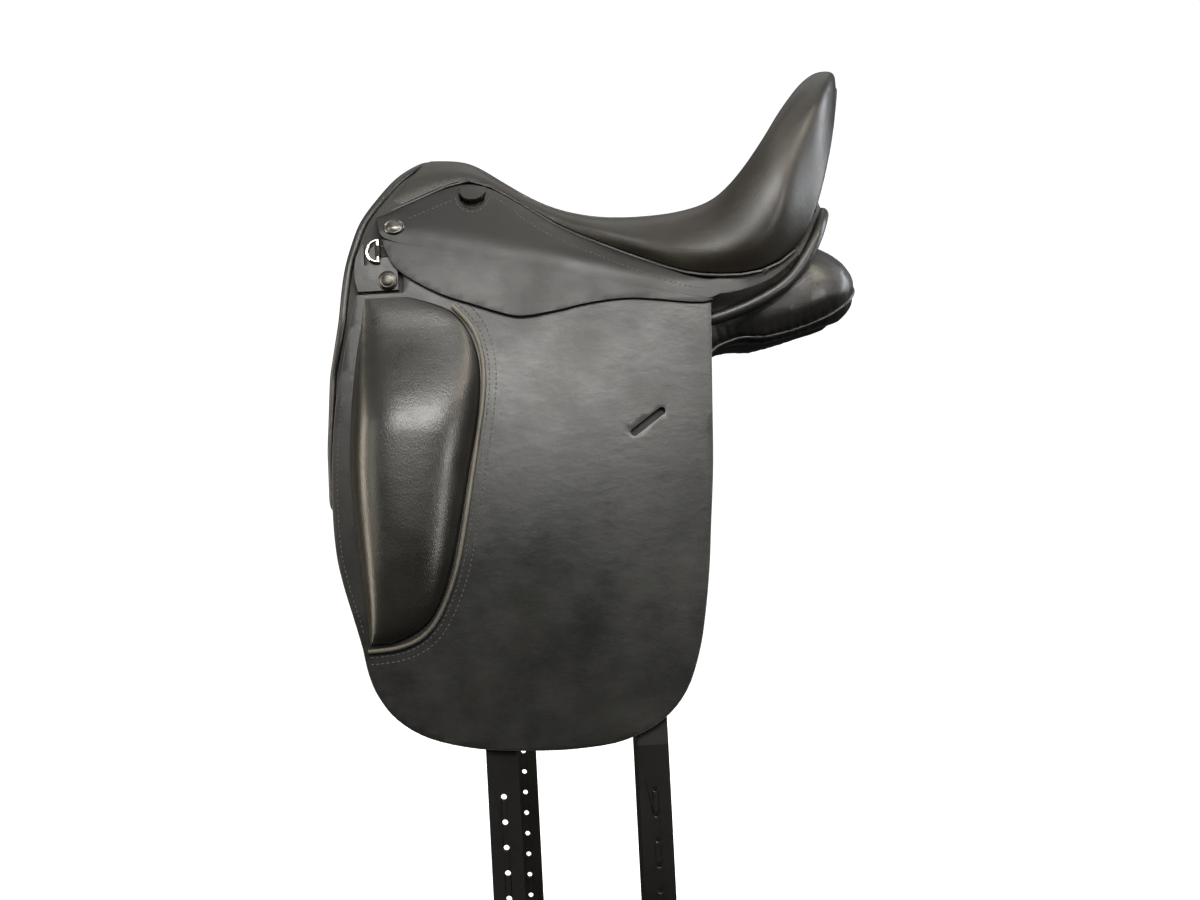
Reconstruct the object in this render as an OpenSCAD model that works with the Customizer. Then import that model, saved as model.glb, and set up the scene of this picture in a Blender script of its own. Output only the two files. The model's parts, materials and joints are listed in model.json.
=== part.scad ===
// English dressage saddle with one leather flap a side, built up from its tree to its leatherwork.
// Millimetres. -X is the pommel (towards the horse's head), +X the cantle, -Y the near (left) side, +Z up.
// The origin is on the line of the horse's spine, straight under the lowest point of the seat.

/* [Flaps and skirts] */
// Half the distance between the flaps' outer faces at the height of the origin
flap_half_w = 132; // [130:1:136]
// How far the flaps lean out from the vertical, in degrees
flap_splay = 11; // [10:0.5:12]
// Thickness of the flap leather
flap_t = 4; // [3:0.5:4]
// Thickness of the skirt leather
skirt_t = 3; // [2:0.5:3.5]
// Length of the slot in the flap, end to end
slot_len = 38; // [30:1:42]
// Width of that slot
slot_w = 7; // [6:0.5:9]

/* [Seat] */
// Thickness of the seat leather
cover_t = 2; // [1.5:0.1:2.5]
// Radius of the welt between the seat and the skirts
welt_r = 1.8; // [1.2:0.1:2]

/* [Knee blocks] */
// How far the knee block stands out from the flap
block_h = 32; // [20:1:38]
// Thickness of the leather over the block
block_cover_t = 1.6; // [1.2:0.1:2]
// Radius of the piping round the block
block_piping_r = 2; // [1.5:0.1:2.2]

/* [Girth straps] */
// Width of a girth strap
billet_w = 27; // [24:1:30]
// Thickness of a girth strap
billet_t = 4.5; // [3.5:0.5:5]
// Distance between the middles of the two straps on one side
billet_spacing = 131; // [120:1:140]
// Number of holes in a strap
billet_holes = 9; // [5:1:10]
// Distance from one hole to the next
billet_pitch = 22; // [20:1:24]
// Diameter of a hole
billet_hole_d = 5; // [4:0.5:6]

/* [Metalwork] */
// Length of the stirrup bar's arm
bar_len = 66; // [60:1:70]
// Clear gap behind the arm, for the stirrup leather
bar_gap = 9; // [8:0.5:10]
// Wire diameter of the dee ring
dee_wire_d = 3.2; // [2.5:0.1:3.4]
// Diameter of the nail head beside the pommel
nail_d = 19; // [16:1:20]
// Diameter of the stud below the dee ring
stud_d = 17; // [14:1:18]

/* [Hidden] */
$fn = 32;
gap = 0.4;       // kept between soft neighbours
mid_n = gap + skirt_t / 2;   // how far the fold line stands out from the flap's face
leather = [0.07, 0.07, 0.07];
leather_soft = [0.10, 0.10, 0.10];
steel = [0.75, 0.75, 0.77];
wood = [0.72, 0.55, 0.36];
web = [0.80, 0.78, 0.70];
foam = [0.85, 0.80, 0.55];
wool = [0.90, 0.88, 0.82];
spring_blue = [0.35, 0.37, 0.42];
piping_grey = [0.45, 0.42, 0.36];
dark_bronze = [0.20, 0.18, 0.15];

// ---- curves and sheets ----------------------------------------------------------------------------

function at(p, i) = p[max(0, min(len(p) - 1, i))];
// One step of a Catmull-Rom curve: it passes through b and c. It works on points and on whole rows of points.
function between(a, b, c, d, t) =
    0.5 * (2 * b + (c - a) * t + (2 * a - 5 * b + 4 * c - d) * t * t + (3 * b - a - 3 * c + d) * t * t * t);
// A smooth curve through the points p, with n steps from each point to the next.
function curve(p, n) = concat(
    [for (i = [0 : len(p) - 2], k = [0 : n - 1]) between(at(p, i - 1), p[i], p[i + 1], at(p, i + 2), k / n)],
    [p[len(p) - 1]]);
function flip(p) = [for (i = [len(p) - 1 : -1 : 0]) p[i]];
function flat(rows) = [for (r = rows, p = r) p];
function unit(v) = v / norm(v);
// The two triangles of a grid's cell, seen from outside or from inside.
function cell(a, b, c, d, out) = out ? [[a, b, c], [a, c, d]] : [[c, b, a], [d, c, a]];

// A thick sheet between two grids of points of one size.
module sheet(outer, inner) {
    rows = len(outer);
    cols = len(outer[0]);
    k = rows * cols;
    function id(i, j, s) = i * cols + j + s * k;
    faces = concat(
        [for (i = [0 : rows - 2], j = [0 : cols - 2], f = concat(
            cell(id(i, j, 0), id(i, j + 1, 0), id(i + 1, j + 1, 0), id(i + 1, j, 0), true),
            cell(id(i, j, 1), id(i, j + 1, 1), id(i + 1, j + 1, 1), id(i + 1, j, 1), false))) f],
        [for (j = [0 : cols - 2], f = concat(
            cell(id(0, j, 1), id(0, j + 1, 1), id(0, j + 1, 0), id(0, j, 0), true),
            cell(id(rows - 1, j, 0), id(rows - 1, j + 1, 0), id(rows - 1, j + 1, 1), id(rows - 1, j, 1), true))) f],
        [for (i = [0 : rows - 2], f = concat(
            cell(id(i, 0, 0), id(i + 1, 0, 0), id(i + 1, 0, 1), id(i, 0, 1), true),
            cell(id(i, cols - 1, 1), id(i + 1, cols - 1, 1), id(i + 1, cols - 1, 0), id(i, cols - 1, 0), true))) f]);
    polyhedron(concat(flat(outer), flat(inner)), faces, convexity = 8);
}

// A solid through closed loops of points, with a cap at each end.
module loft(loops) {
    rows = len(loops);
    cols = len(loops[0]);
    function id(i, j) = i * cols + j % cols;
    function middle(p) = [for (k = [0 : 2]) [for (q = p) q[k]] * [for (q = p) 1 / len(p)]];
    sides = [for (i = [0 : rows - 2], j = [0 : cols - 1], f =
        cell(id(i, j), id(i, j + 1), id(i + 1, j + 1), id(i + 1, j), true)) f];
    caps = [for (j = [0 : cols - 1], f = [
        [rows * cols, id(0, j + 1), id(0, j)],
        [rows * cols + 1, id(rows - 1, j), id(rows - 1, j + 1)]]) f];
    polyhedron(concat(flat(loops), [middle(loops[0]), middle(loops[rows - 1])]), concat(sides, caps), convexity = 8);
}

// The outward normal of a grid at row i, column j.
function normal(g, i, j) = unit(cross(
    g[min(i + 1, len(g) - 1)][j] - g[max(i - 1, 0)][j],
    g[i][min(j + 1, len(g[0]) - 1)] - g[i][max(j - 1, 0)]));
function shifted(g, d) = [for (i = [0 : len(g) - 1])
    [for (j = [0 : len(g[0]) - 1]) g[i][j] + d * normal(g, i, j)]];

// A loop of points round a path's point, in the plane across the path, turned by first degrees.
function ring(path, i, size, up, sides, first = 0) =
    let (d = unit(at(path, i + 1) - at(path, i - 1)), a = unit(cross(up, d)), b = cross(d, a))
    [for (k = [0 : sides - 1]) let (q = first - 360 * k / sides)
        path[i] + size[0] * cos(q) * a + size[1] * sin(q) * b];
module tube(path, r, sides = 8, up = [0.11, 0.13, 1])
    loft([for (i = [0 : len(path) - 1]) ring(path, i, [r, r], up, sides)]);
// A bar of rectangular section, w wide and h thick, with its thickness along up.
module bar(path, w, h, up = [0.11, 0.13, 1])
    loft([for (i = [0 : len(path) - 1]) ring(path, i, [w, h] / sqrt(2), up, 4, 45)]);

function mirrored(p) = [for (q = p) [q[0], -q[1], q[2]]];
// A path given from the middle outwards on one side, made whole from the near side to the off side.
function whole(p) = concat(mirrored(flip(p)), [for (i = [(p[0][1] == 0 ? 1 : 0) : len(p) - 1]) p[i]]);
module off_side() mirror([0, 1, 0]) children();

// ---- the flap's own frame: s runs to the rear, t up the flap, n out from its outer face --------------

module on_flap(n = 0)
    translate([0, -flap_half_w, 0])
        rotate([-flap_splay, 0, 0])
            translate([0, -n, 0]) rotate([90, 0, 0]) children();
function flap_point(s, t, n) = [
    s,
    -flap_half_w - n * cos(flap_splay) + t * sin(flap_splay),
    n * sin(flap_splay) + t * cos(flap_splay)];

// The line that the flap and the skirt fold about, straight from the nail head to the flap's rear edge.
fold_a = [-238, 63.7];
fold_b = [58, -8];
fold_angle = atan2(fold_b[1] - fold_a[1], fold_b[0] - fold_a[0]);
fold_len = norm(fold_b - fold_a);
function fold_t(s) = fold_a[1] + (s - fold_a[0]) * tan(fold_angle);
function under_fold(s, d) = [s, fold_t(s) - d];

// ---- tree ------------------------------------------------------------------------------------------

head_path = [[-180, 0, 123], [-184, 32, 118], [-198, 60, 97], [-216, 85, 68], [-230, 101, 38], [-238, 109, 14]];
rail_path = [
    [150, 0, 83], [146, 34, 80], [134, 64, 68], [112, 84, 54], [80, 90, 40], [36, 77, 32],
    [-24, 71, 33], [-84, 70, 40], [-132, 72, 48], [-170, 72, 57], [-200, 79, 64]];
head_w = 22;
head_thick = 11;
rail_w = 22;
rail_thick = 11;
plate_t = 2.5;
rivet_r = 2.5;
rivet_play = 0.08;
head_rivet_at = [-229, 85, 68];
head_hole_len = 30;
head_rivet_len = 18;
head_plate_w = 13;
head_plate_shift = [-15, 0, -1];
gullet_plate_w = 16;
gullet_plate_shift = [0, 0, -9.5];
gullet_plate_draw = 2.6;      // how much narrower it gets with each point of the arch
board_t = 9;
board_half = [[0, 70], [22, 66], [42, 54], [56, 35], [66, 12], [68, -4]];
cantle_plate_r = [30, 46];
spring_w = 14;

// A band round the arch of the head, w wide across it and h along the saddle.
module arch_band(path, w, h, lift) bar(curve(whole([for (q = path) q + lift]), 3), w, h, [-1, 0, 0.001]);
module tree_head() color(wood) difference() {
    arch_band(head_path, head_thick, head_w, [0, 0, 0]);
    head_rivet_shanks(rivet_r + rivet_play, head_hole_len);
}
module tree_rails() color(wood) difference() {
    bar(curve(whole(rail_path), 3), rail_w, rail_thick);
    for (side = [0, 1]) mirror([0, side, 0]) bar_rivet_shanks(rivet_r + rivet_play);
}
module head_plate() color(steel) difference() {
    arch_band([for (i = [0 : 4]) head_path[i]], head_plate_w, plate_t, head_plate_shift);
    head_rivet_shanks(rivet_r + rivet_play, head_hole_len);
}
module gullet_plate() color(steel)
    arch_band([for (i = [0 : 2]) head_path[i] - [0, i * gullet_plate_draw, 0]], plate_t, gullet_plate_w,
        gullet_plate_shift);

board_tilt = 12;
board_at = [156, 0, 97];
module cantle_board() color(wood)
    translate(board_at) rotate([0, board_tilt, 0]) rotate([90, 0, 90]) linear_extrude(board_t)
        polygon(let (half = curve(board_half, 4)) concat(half, [for (p = flip(half)) [-p[0], p[1]]]));
module cantle_plate() color(steel)
    translate(board_at - [4.4, 0, 0]) rotate([0, board_tilt, 0]) rotate([90, 0, 90]) linear_extrude(plate_t)
        translate([0, 4]) difference() {
            circle(r = cantle_plate_r[1]);
            circle(r = cantle_plate_r[0]);
            translate([-50, -60]) square([100, 62]);
        }
module spring_steels() color(spring_blue) for (side = [0, 1]) mirror([0, side, 0])
    bar(curve([for (i = [4 : 9]) rail_path[i] - [0, 1, 10.5]], 3), spring_w, plate_t);
module head_rivet_shanks(r, h) for (side = [-1, 1])
    translate([head_rivet_at[0], side * head_rivet_at[1], head_rivet_at[2]]) rotate([0, 90, 0])
        cylinder(r = r, h = h, center = true);
module bar_rivet_shanks(r) in_bar() for (x = bar_rivet_x)
    translate([x, 16, bar_rivet_z]) rotate([90, 0, 0]) cylinder(r = r, h = 17.4);
module tree_rivets() color(steel) {
    for (side = [0, 1]) mirror([0, side, 0]) {
        bar_rivet_shanks(rivet_r);
        in_bar() for (x = bar_rivet_x)
            translate([x, -0.3, bar_rivet_z]) rotate([90, 0, 0]) cylinder(r1 = 5, r2 = 3.4, h = 2);
    }
    head_rivet_shanks(rivet_r, head_rivet_len);
}

// ---- seat ------------------------------------------------------------------------------------------

// Cross-ribs of the seat on the off side, from the pommel back and up the cantle. Each runs from the seam at the
// skirt, over the ridge and the shoulder, to the middle.
seat_ribs = [
    [[-243, 91, 90], [-220, 73, 117], [-201, 34, 144], [-194, 0, 148]],
    [[-203, 76, 108], [-190, 64, 127], [-174, 34, 143], [-170, 0, 147]],
    [[-160, 62, 123], [-156, 56, 130], [-150, 32, 136], [-150, 0, 139]],
    [[-122, 67, 105], [-118, 60, 109], [-115, 34, 111], [-115, 0, 116]],
    [[-80, 82, 75], [-80, 76, 85], [-80, 46, 92], [-80, 0, 97]],
    [[-40, 97, 54], [-40, 96, 68], [-40, 66, 79], [-40, 0, 87]],
    [[0, 108, 36], [1, 112, 51], [0, 82, 74], [0, 0, 85]],
    [[35, 121, 22], [38, 128, 41], [35, 96, 76], [38, 0, 86]],
    [[68, 127, 17], [74, 137, 40], [64, 105, 85], [72, 0, 92]],
    [[103, 127, 19], [108, 141, 60], [90, 109, 112], [102, 0, 101]],
    [[137, 110, 38], [130, 137, 90], [112, 103, 142], [124, 0, 120]],
    [[158, 104, 72], [147, 120, 134], [126, 87, 163], [141, 0, 145]],
    [[175, 88, 124], [165, 102, 168], [143, 69, 185], [155, 0, 170]],
    [[185, 64, 164], [179, 74, 194], [157, 50, 200], [167, 0, 194]],
    [[191, 38, 189], [188, 43, 208], [173, 31, 211], [176, 0, 211]],
    [[193, 12, 200], [193, 14, 209], [188, 11, 214], [187, 0, 215]],
];
function full_rib(r) = concat(mirrored(r), [for (i = [2 : -1 : 0]) r[i]]);
seat_grid = [for (r = curve(seat_ribs, 2)) curve(full_rib(r), 3)];
foam_t = 12;
// The seat's grid without its outermost rows and columns, d inside the seat's surface.
function seat_inside(d) = let (g = shifted(seat_grid, -d))
    [for (i = [1 : len(g) - 4]) [for (j = [2 : len(g[0]) - 3]) g[i][j]]];

module seat_cover() color(leather_soft) sheet(seat_grid, shifted(seat_grid, -cover_t));
module seat_foam() color(foam) sheet(seat_inside(cover_t + 1.6), seat_inside(cover_t + 1.6 + foam_t));

seam_line = curve([for (r = seat_ribs) r[0]], 2);
skirt_ribs = 21;     // how many of the seam line's points the skirt reaches along

// The welt lies on the seam, just below the seat leather's edge.
function welt_drop(p) = p + [0, 1.6, -2.6];
module seat_welt() color(leather) for (side = [0, 1]) mirror([0, side, 0])
    tube([for (i = [0 : skirt_ribs - 1]) welt_drop(seam_line[i])], welt_r, 6);

// The rear face of the cantle, inside the seat leather's edge, from the rear roll up to the tip.
back_rows = [for (i = [22 : 30]) seam_line[i]];
function back_row(p) = [for (w = [-1, -0.66, -0.33, 0, 0.33, 0.66, 1])
    [p[0] + 3 * (1 - w * w) + 0.8, w * (p[1] - 1.2), p[2] - 0.4]];
module cantle_back() color(leather)
    sheet([for (p = back_rows) flip(back_row(p))], [for (p = back_rows) flip(back_row(p - [cover_t, 0, 0]))]);

web_w = 26;
web_t = 2;
web_line = [[-164, 116], [-110, 88], [-50, 66], [10, 60], [70, 64], [116, 76], [132, 85]];
girth_web_w = 36;
module seat_webbing() color(web) for (y = [-17, 17])
    bar(curve([for (p = web_line) [p[0], y, p[1]]], 2), web_w, web_t, [0.02, 0.01, 1]);
module girth_webs() color(web) for (x = billet_x)
    translate([x - girth_web_w / 2, 0, 0]) rotate([90, 0, 90]) linear_extrude(girth_web_w) girth_web_section();
module girth_web_section() {
    near = [flap_yz(-10.6, -14), flap_yz(-10.6, 2), [-89, 4], [-84.6, 8], [-84.4, 24]];
    inner = [flap_yz(-12.6, -14), flap_yz(-12.6, 0), [-88, 2], [-82.6, 7], [-82.8, 24]];
    for (side = [0, 1]) mirror([side, 0]) polygon(concat(near, flip(inner)));
}
function flap_yz(n, t) = let (p = flap_point(0, t, n)) [p[1], p[2]];

// ---- rolled edges and lining -----------------------------------------------------------------------

rear_roll_path = [
    [172, 0, 77], [171.5, 28, 76], [169.5, 57, 73], [165, 83, 65], [158.5, 98.5, 50], [148, 106, 31],
    [129, 113, 8], [103, 118, -8], [75, 120, -19], [53, 121, -25]];
rear_roll_r = 6.2;
pommel_roll_r = 3.8;
module rear_roll() color(leather_soft) tube(curve(whole(rear_roll_path), 3), rear_roll_r, 8, [0.1, 0.05, 1]);

pommel_roll_path = [
    [-198, 0, 144], [-205, 28, 141], [-224, 60, 125], [-240, 84, 104], [-255, 100, 82],
    [-263, 109, 61], [-269, 117, 40], [-273, 123, 16], [-276, 129, -10]];
module pommel_roll() color(leather) tube(curve(whole(pommel_roll_path), 3), pommel_roll_r, 8, [-1, 0.02, 0.1]);

// The facing closes the front of the pommel, between the roll and the panels' top.
facing_outer = [[-203, 0, 139], [-209, 27, 136], [-226, 57, 117], [-240, 79, 97], [-250, 91, 84]];
facing_inner = [[-206, 0, 112], [-212, 18, 110], [-229, 48, 94], [-245, 78, 80], [-252, 88, 76]];
module pommel_facing() color(leather) {
    outer = curve(whole(facing_outer), 2);
    inner = curve(whole(facing_inner), 2);
    rows = [for (w = [0, 0.5, 1]) [for (i = [0 : len(outer) - 1]) outer[i] + (inner[i] - outer[i]) * w]];
    sheet(flip(rows), [for (r = flip(rows)) [for (p = r) p + [2, 0, 0]]]);
}

lining_line = [
    [-160, 80], [-120, 58], [-84, 42], [-24, 29], [36, 24], [84, 28], [120, 40], [150, 56], [162, 64]];
lining_half_w = 24;
lining_arch = 4;
function lining_row(p, drop) = [for (w = [-1, -0.5, 0, 0.5, 1])
    [p[0], w * lining_half_w, p[1] + lining_arch * (1 - w * w) - drop]];
module gullet_lining() color(leather) {
    rows = curve(lining_line, 2);
    sheet([for (p = rows) lining_row(p, 0)], [for (p = rows) lining_row(p, cover_t)]);
}

// ---- skirts ----------------------------------------------------------------------------------------

// The skirt's lower edge behind the fold line, where it is sewn down and runs up round the cantle.
tail_edge = curve([
    [61, 133.5, -4], [78, 133, -2], [101, 130, 4], [115, 125, 11], [127, 118.5, 22], [138, 111, 33]], 2);
fold_rows = 14;      // how many of the skirt's rows end on the fold line
fold_clear = 3.4;    // how far above the fold line they end
skirt_hang = [0, 3.2, -5.2];      // from the seam to the skirt's upper edge
skirt_bulge = [0, 5, 5];
function skirt_row_foot(i) =
    let (s = fold_a[0] + (fold_b[0] - fold_a[0]) * i / fold_rows,
        f = flap_point(s, fold_t(s) + fold_clear, gap + skirt_t))
    i < fold_rows ? [f[0], -f[1], f[2]] : tail_edge[round((i - fold_rows) * 10 / 6)];
function skirt_top_row(i) =
    let (a = seam_line[i] + skirt_hang, b = skirt_row_foot(i),
        bulge = skirt_bulge * max(0, min(1, (norm(a - b) - 22) / 42)))
    [for (w = [0, 0.3, 0.65, 1]) a + (b - a) * w + 4 * w * (1 - w) * bulge];
skirt_top_grid = [for (i = [0 : skirt_ribs - 1]) skirt_top_row(i)];
module skirt_top() color(leather) off_side() sheet([for (r = skirt_top_grid) flip(r)],
    shifted([for (r = skirt_top_grid) flip(r)], -skirt_t));

skirt_edge = curve([
    [-235, 55], [-230, 43], [-223, 34], [-213, 26], [-197, 16], [-180, 7.5], [-157, -1], [-134, -9.6],
    [-114, -14.2], [-83, -10.5], [-60, -6], [-36, -3], [-14, -2.4], [10, -5], [34, -8.6], [50, -9.6]], 3);
module skirt() color(leather) {
    on_flap(gap) linear_extrude(skirt_t) polygon(concat([fold_a], skirt_edge, [fold_b]));
    on_flap(mid_n) translate(fold_a) rotate([0, 0, fold_angle]) translate([0.2, 0, 0]) rotate([0, 90, 0])
        cylinder(r = skirt_t / 2 - 0.05, h = fold_len - 0.4);
}

// ---- flaps -----------------------------------------------------------------------------------------

flap_edge = curve([
    [-262, 14], [-270, -15], [-277.5, -54], [-284, -89], [-288, -135], [-289, -180], [-286.5, -220],
    [-281, -248], [-273, -277], [-266, -303], [-261, -327], [-253, -347], [-237, -368], [-210, -385],
    [-168, -396], [-120, -400], [-80, -400], [-42, -395], [-8, -379], [14, -355], [27, -322], [34, -290],
    [40, -250], [44, -210], [49, -158], [52, -100], [56, -16]], 4);
// The cut-out that leaves the stirrup bar open when the skirt is lifted.
notch_shape = [[-188, -5], [-188, 24], [-182, 30], [-92, 30], [-86, 24], [-86, -5]];
notch = [for (p = notch_shape) under_fold(p[0], p[1])];
slot_at = [-6.5, -116.5];
slot_angle = 36;
module slot_hole() translate(slot_at) rotate(slot_angle) {
    square([slot_len - slot_w, slot_w], center = true);
    for (x = [-1, 1]) translate([x * (slot_len - slot_w) / 2, 0]) circle(d = slot_w);
}
module flap() color(leather) on_flap(-flap_t) linear_extrude(flap_t) difference() {
    polygon(concat([under_fold(-218, 1.5), [-220, 14.5]], flap_edge, [under_fold(56.5, 1.5)]));
    polygon(notch);
    slot_hole();
}

// Rows of the knee block from its top to its foot: [t, front edge, rear edge, share of the full height].
block_rows = [
    [10, -255, -216, 0.2], [0, -256.5, -186, 0.6], [-15, -259, -167, 0.82], [-50, -265, -153.5, 0.96],
    [-96, -270, -155, 1], [-152, -272.5, -166, 1], [-220, -267, -179.5, 0.88], [-263, -262.5, -192.5, 0.66],
    [-290, -260, -210, 0.4], [-302, -259, -238, 0.16]];
// The block's profile across: [share of its width, share of its height].
block_shape = [
    [0, 0], [0.03, 0.4], [0.1, 0.78], [0.25, 1], [0.45, 0.97], [0.65, 0.86], [0.84, 0.66], [0.95, 0.36], [1, 0]];
block_fine = curve(block_rows, 2);
// One row of the block's surface, inset from it. Its top and foot draw in by the inset as well.
function block_row(i, inset) =
    let (r = block_fine[i], t = r[0] - inset * (1 - 2 * i / (len(block_fine) - 1)), w = r[2] - r[1] - 2 * inset)
    [for (q = block_shape) flap_point(r[1] + inset + w * q[0], t,
        gap + max(0, block_h * r[3] * q[1] - inset * min(1, 3 * q[1])))];
function block_grid(inset) = [for (i = [0 : len(block_fine) - 1]) block_row(i, inset)];
foam_play = 0.6;
module knee_cover() color(leather_soft) sheet(block_grid(0), block_grid(block_cover_t));
module knee_foam() color(foam) {
    top = block_grid(block_cover_t + foam_play);
    base = [for (i = [0 : len(block_fine) - 1]) [for (j = [0 : len(block_shape) - 1])
        let (a = top[i][0], b = top[i][len(block_shape) - 1]) a + (b - a) * block_shape[j][0]
            - 0.1 * [0, -cos(flap_splay), sin(flap_splay)]]];
    sheet(top, base);
}
piping_line = [for (p = curve([
    [-176, -1], [-165, -13], [-156, -28], [-151, -50], [-150.5, -73], [-153, -96], [-157, -119], [-163, -152],
    [-169.5, -187], [-176, -220], [-182, -244], [-190, -265], [-198, -281], [-207, -293], [-220, -302],
    [-239, -307], [-260, -308]], 2)) flap_point(p[0], p[1], gap + block_piping_r)];
module knee_piping() color(piping_grey) tube(piping_line, block_piping_r, 6);

// ---- panels ----------------------------------------------------------------------------------------

// Ribs of the panel's middle surface on the off side, from its front edge to its rear tip. Each runs from the
// channel beside the spine out and down to the lower edge: [points, thickness at each].
panel_ribs = [
    [[-208, 16, 102, 7], [-254, 92, 62, 10], [-288, 126, -60, 12], [-292, 153, -177, 7]],
    [[-190, 22, 90, 12], [-226, 70, 40, 22], [-258, 104, -44, 20], [-268, 143, -188, 8]],
    [[-136, 30, 56, 20], [-168, 60, 16, 26], [-192, 94, -54, 22], [-206, 140, -176, 9]],
    [[-72, 33, 30, 24], [-86, 66, -2, 30], [-98, 103, -56, 24], [-106, 137, -160, 9]],
    [[0, 33, 14, 26], [0, 66, -10, 34], [0, 104, -56, 26], [0, 137, -146, 8]],
    [[60, 34, 12, 40], [60, 66, -8, 54], [60, 90, -30, 50], [60, 107, -52, 26]],
    [[108, 35, 20, 48], [110, 66, -2, 66], [110, 88, -23, 57], [108, 103, -45, 38]],
    [[150, 36, 28, 52], [152, 60, 12, 74], [152, 80, -11, 63], [148, 94, -34, 46]],
    [[180, 38, 22, 30], [185, 57, 7, 50], [183, 74, -7, 52], [174, 88, -22, 40]],
    [[189, 44, 12, 12], [196, 57, 3, 18], [194, 70, -5, 18], [187, 80, -13, 14]],
];
loop_steps = 7;     // points along each of a panel loop's two faces
seam_share = 0.35;  // a panel's thickness at its seams, as a share of that between them
panel_w = 90;       // its width, roughly
panel_cover_t = 2;
flocking_inset = 2.8;
// One closed loop of the panel: its upper face from the channel outwards, then its lower face back again.
function panel_loop(rib, inset) =
    let (line = [for (k = [0 : loop_steps - 1]) let (u = 3 * k / (loop_steps - 1), i = min(2, floor(u)))
            between(at(rib, i - 1), rib[i], rib[i + 1], at(rib, i + 2), u - i)],
        point = [for (q = line) [q[0], q[1], q[2]]],
        across = [for (k = [0 : loop_steps - 1])
            let (d = unit(at(point, k + 1) - at(point, k - 1))) unit(cross([1, 0, 0], d))],
        swell = [for (k = [0 : loop_steps - 1])
            let (w = 2 * k / (loop_steps - 1) - 1) sqrt(1 - pow(abs(w), 4))],
        half = [for (k = [0 : loop_steps - 1])
            max(0.6, line[k][3] / 2 * (seam_share + (1 - seam_share) * swell[k]) - inset)],
        shrink = 1 - 2 * inset / panel_w, mid = (point[0] + point[loop_steps - 1]) / 2)
    concat(
        [for (k = [0 : loop_steps - 1]) mid + shrink * (point[k] - mid) + half[k] * across[k]],
        [for (k = [loop_steps - 1 : -1 : 0]) mid + shrink * (point[k] - mid) - half[k] * across[k]]);
panel_fine = curve(panel_ribs, 2);
// The panel's upper and lower faces as grids with their points in one order, d inside its surface.
function panel_upper(d) = [for (r = panel_fine) let (p = panel_loop(r, d))
    [for (k = [0 : loop_steps - 1]) p[k]]];
function panel_lower(d) = [for (r = panel_fine) let (p = panel_loop(r, d))
    [for (k = [2 * loop_steps - 1 : -1 : loop_steps]) p[k]]];
module panel_top() color(leather_soft) off_side() sheet(panel_upper(0), panel_upper(panel_cover_t));
module panel_base() color(leather_soft) off_side() sheet(panel_lower(panel_cover_t), panel_lower(0));
// The stuffing fills the panel between its covers, short of the thin front edge and the rear tip.
function stuffing(rows) = [for (i = [2 : len(rows) - 2]) [for (j = [1 : loop_steps - 2]) rows[i][j]]];
module flocking() color(wool) off_side()
    sheet(stuffing(panel_upper(flocking_inset)), stuffing(panel_lower(flocking_inset)));

// ---- fittings --------------------------------------------------------------------------------------

dee_s = -241.5;      // where the dee ring's straight side lies
dee_t = 53.5;
dee_n = 2.2;
dee_r = 10;
stud_at = [-233.5, 26];
nail_at = [-226, -118, 78];
pocket_front = [[-261, 17], [-264, 32], [-262, 50], [-256, 61]];
pocket_rear = [[-239.5, 61], [-225, 57], [-224, 17]];
chape_t = 3.6;
chape_w = 10;
chape_wrap = 1.2;
module pocket_outline() polygon(concat(curve(pocket_front, 3), pocket_rear));
module point_pocket() color(leather) on_flap(-flap_t) linear_extrude(flap_t) difference() {
    pocket_outline();
    translate([dee_s - dee_r - 3, dee_t - dee_r - 2]) square([dee_r + 17, 2 * dee_r + 4]);
    translate(stud_at) circle(r = 2.2);
}
module dee_chape() color(leather) {
    on_flap(-chape_t) translate([dee_s + 1, dee_t - chape_w / 2]) linear_extrude(chape_t) square([12, chape_w]);
    on_flap(dee_n) translate([dee_s, dee_t - chape_w / 2, 0]) rotate([-90, 0, 0]) difference() {
        cylinder(r = dee_wire_d / 2 + chape_wrap, h = chape_w);
        translate([0, 0, -1]) cylinder(r = dee_wire_d / 2 + rivet_play, h = chape_w + 2);
    }
}
module dee_chapes() {
    dee_chape();
    off_side() dee_chape();
}
module dee_ring() color(steel) on_flap(dee_n) translate([dee_s, dee_t, 0]) {
    translate([0, -dee_r, 0]) rotate([-90, 0, 0]) cylinder(d = dee_wire_d, h = 2 * dee_r);
    rotate([0, 0, 90]) rotate_extrude(angle = 180) translate([dee_r, 0]) circle(d = dee_wire_d);
    for (y = [-1, 1]) translate([0, y * dee_r, 0]) sphere(d = dee_wire_d);
}
nail_tilt = 41;
nail_h = 1.6;       // of its rim, and again of its crown
module nail_head() color(steel) translate(nail_at) rotate([nail_tilt, 0, 0]) {
    cylinder(d = nail_d, h = nail_h);
    translate([0, 0, nail_h]) cylinder(d1 = nail_d, d2 = nail_d - 5, h = nail_h);
}
module nail_heads() {
    nail_head();
    off_side() nail_head();
}
module point_stud() color(dark_bronze) {
    on_flap(gap) translate(stud_at) cylinder(d = stud_d, h = 1.8);
    on_flap(gap + 1.8) translate(stud_at) cylinder(d1 = stud_d, d2 = stud_d - 6, h = 1.2);
    on_flap(-5) translate(stud_at) cylinder(r = 2, h = 5.5);
}
module point_studs() {
    point_stud();
    off_side() point_stud();
}

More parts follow.
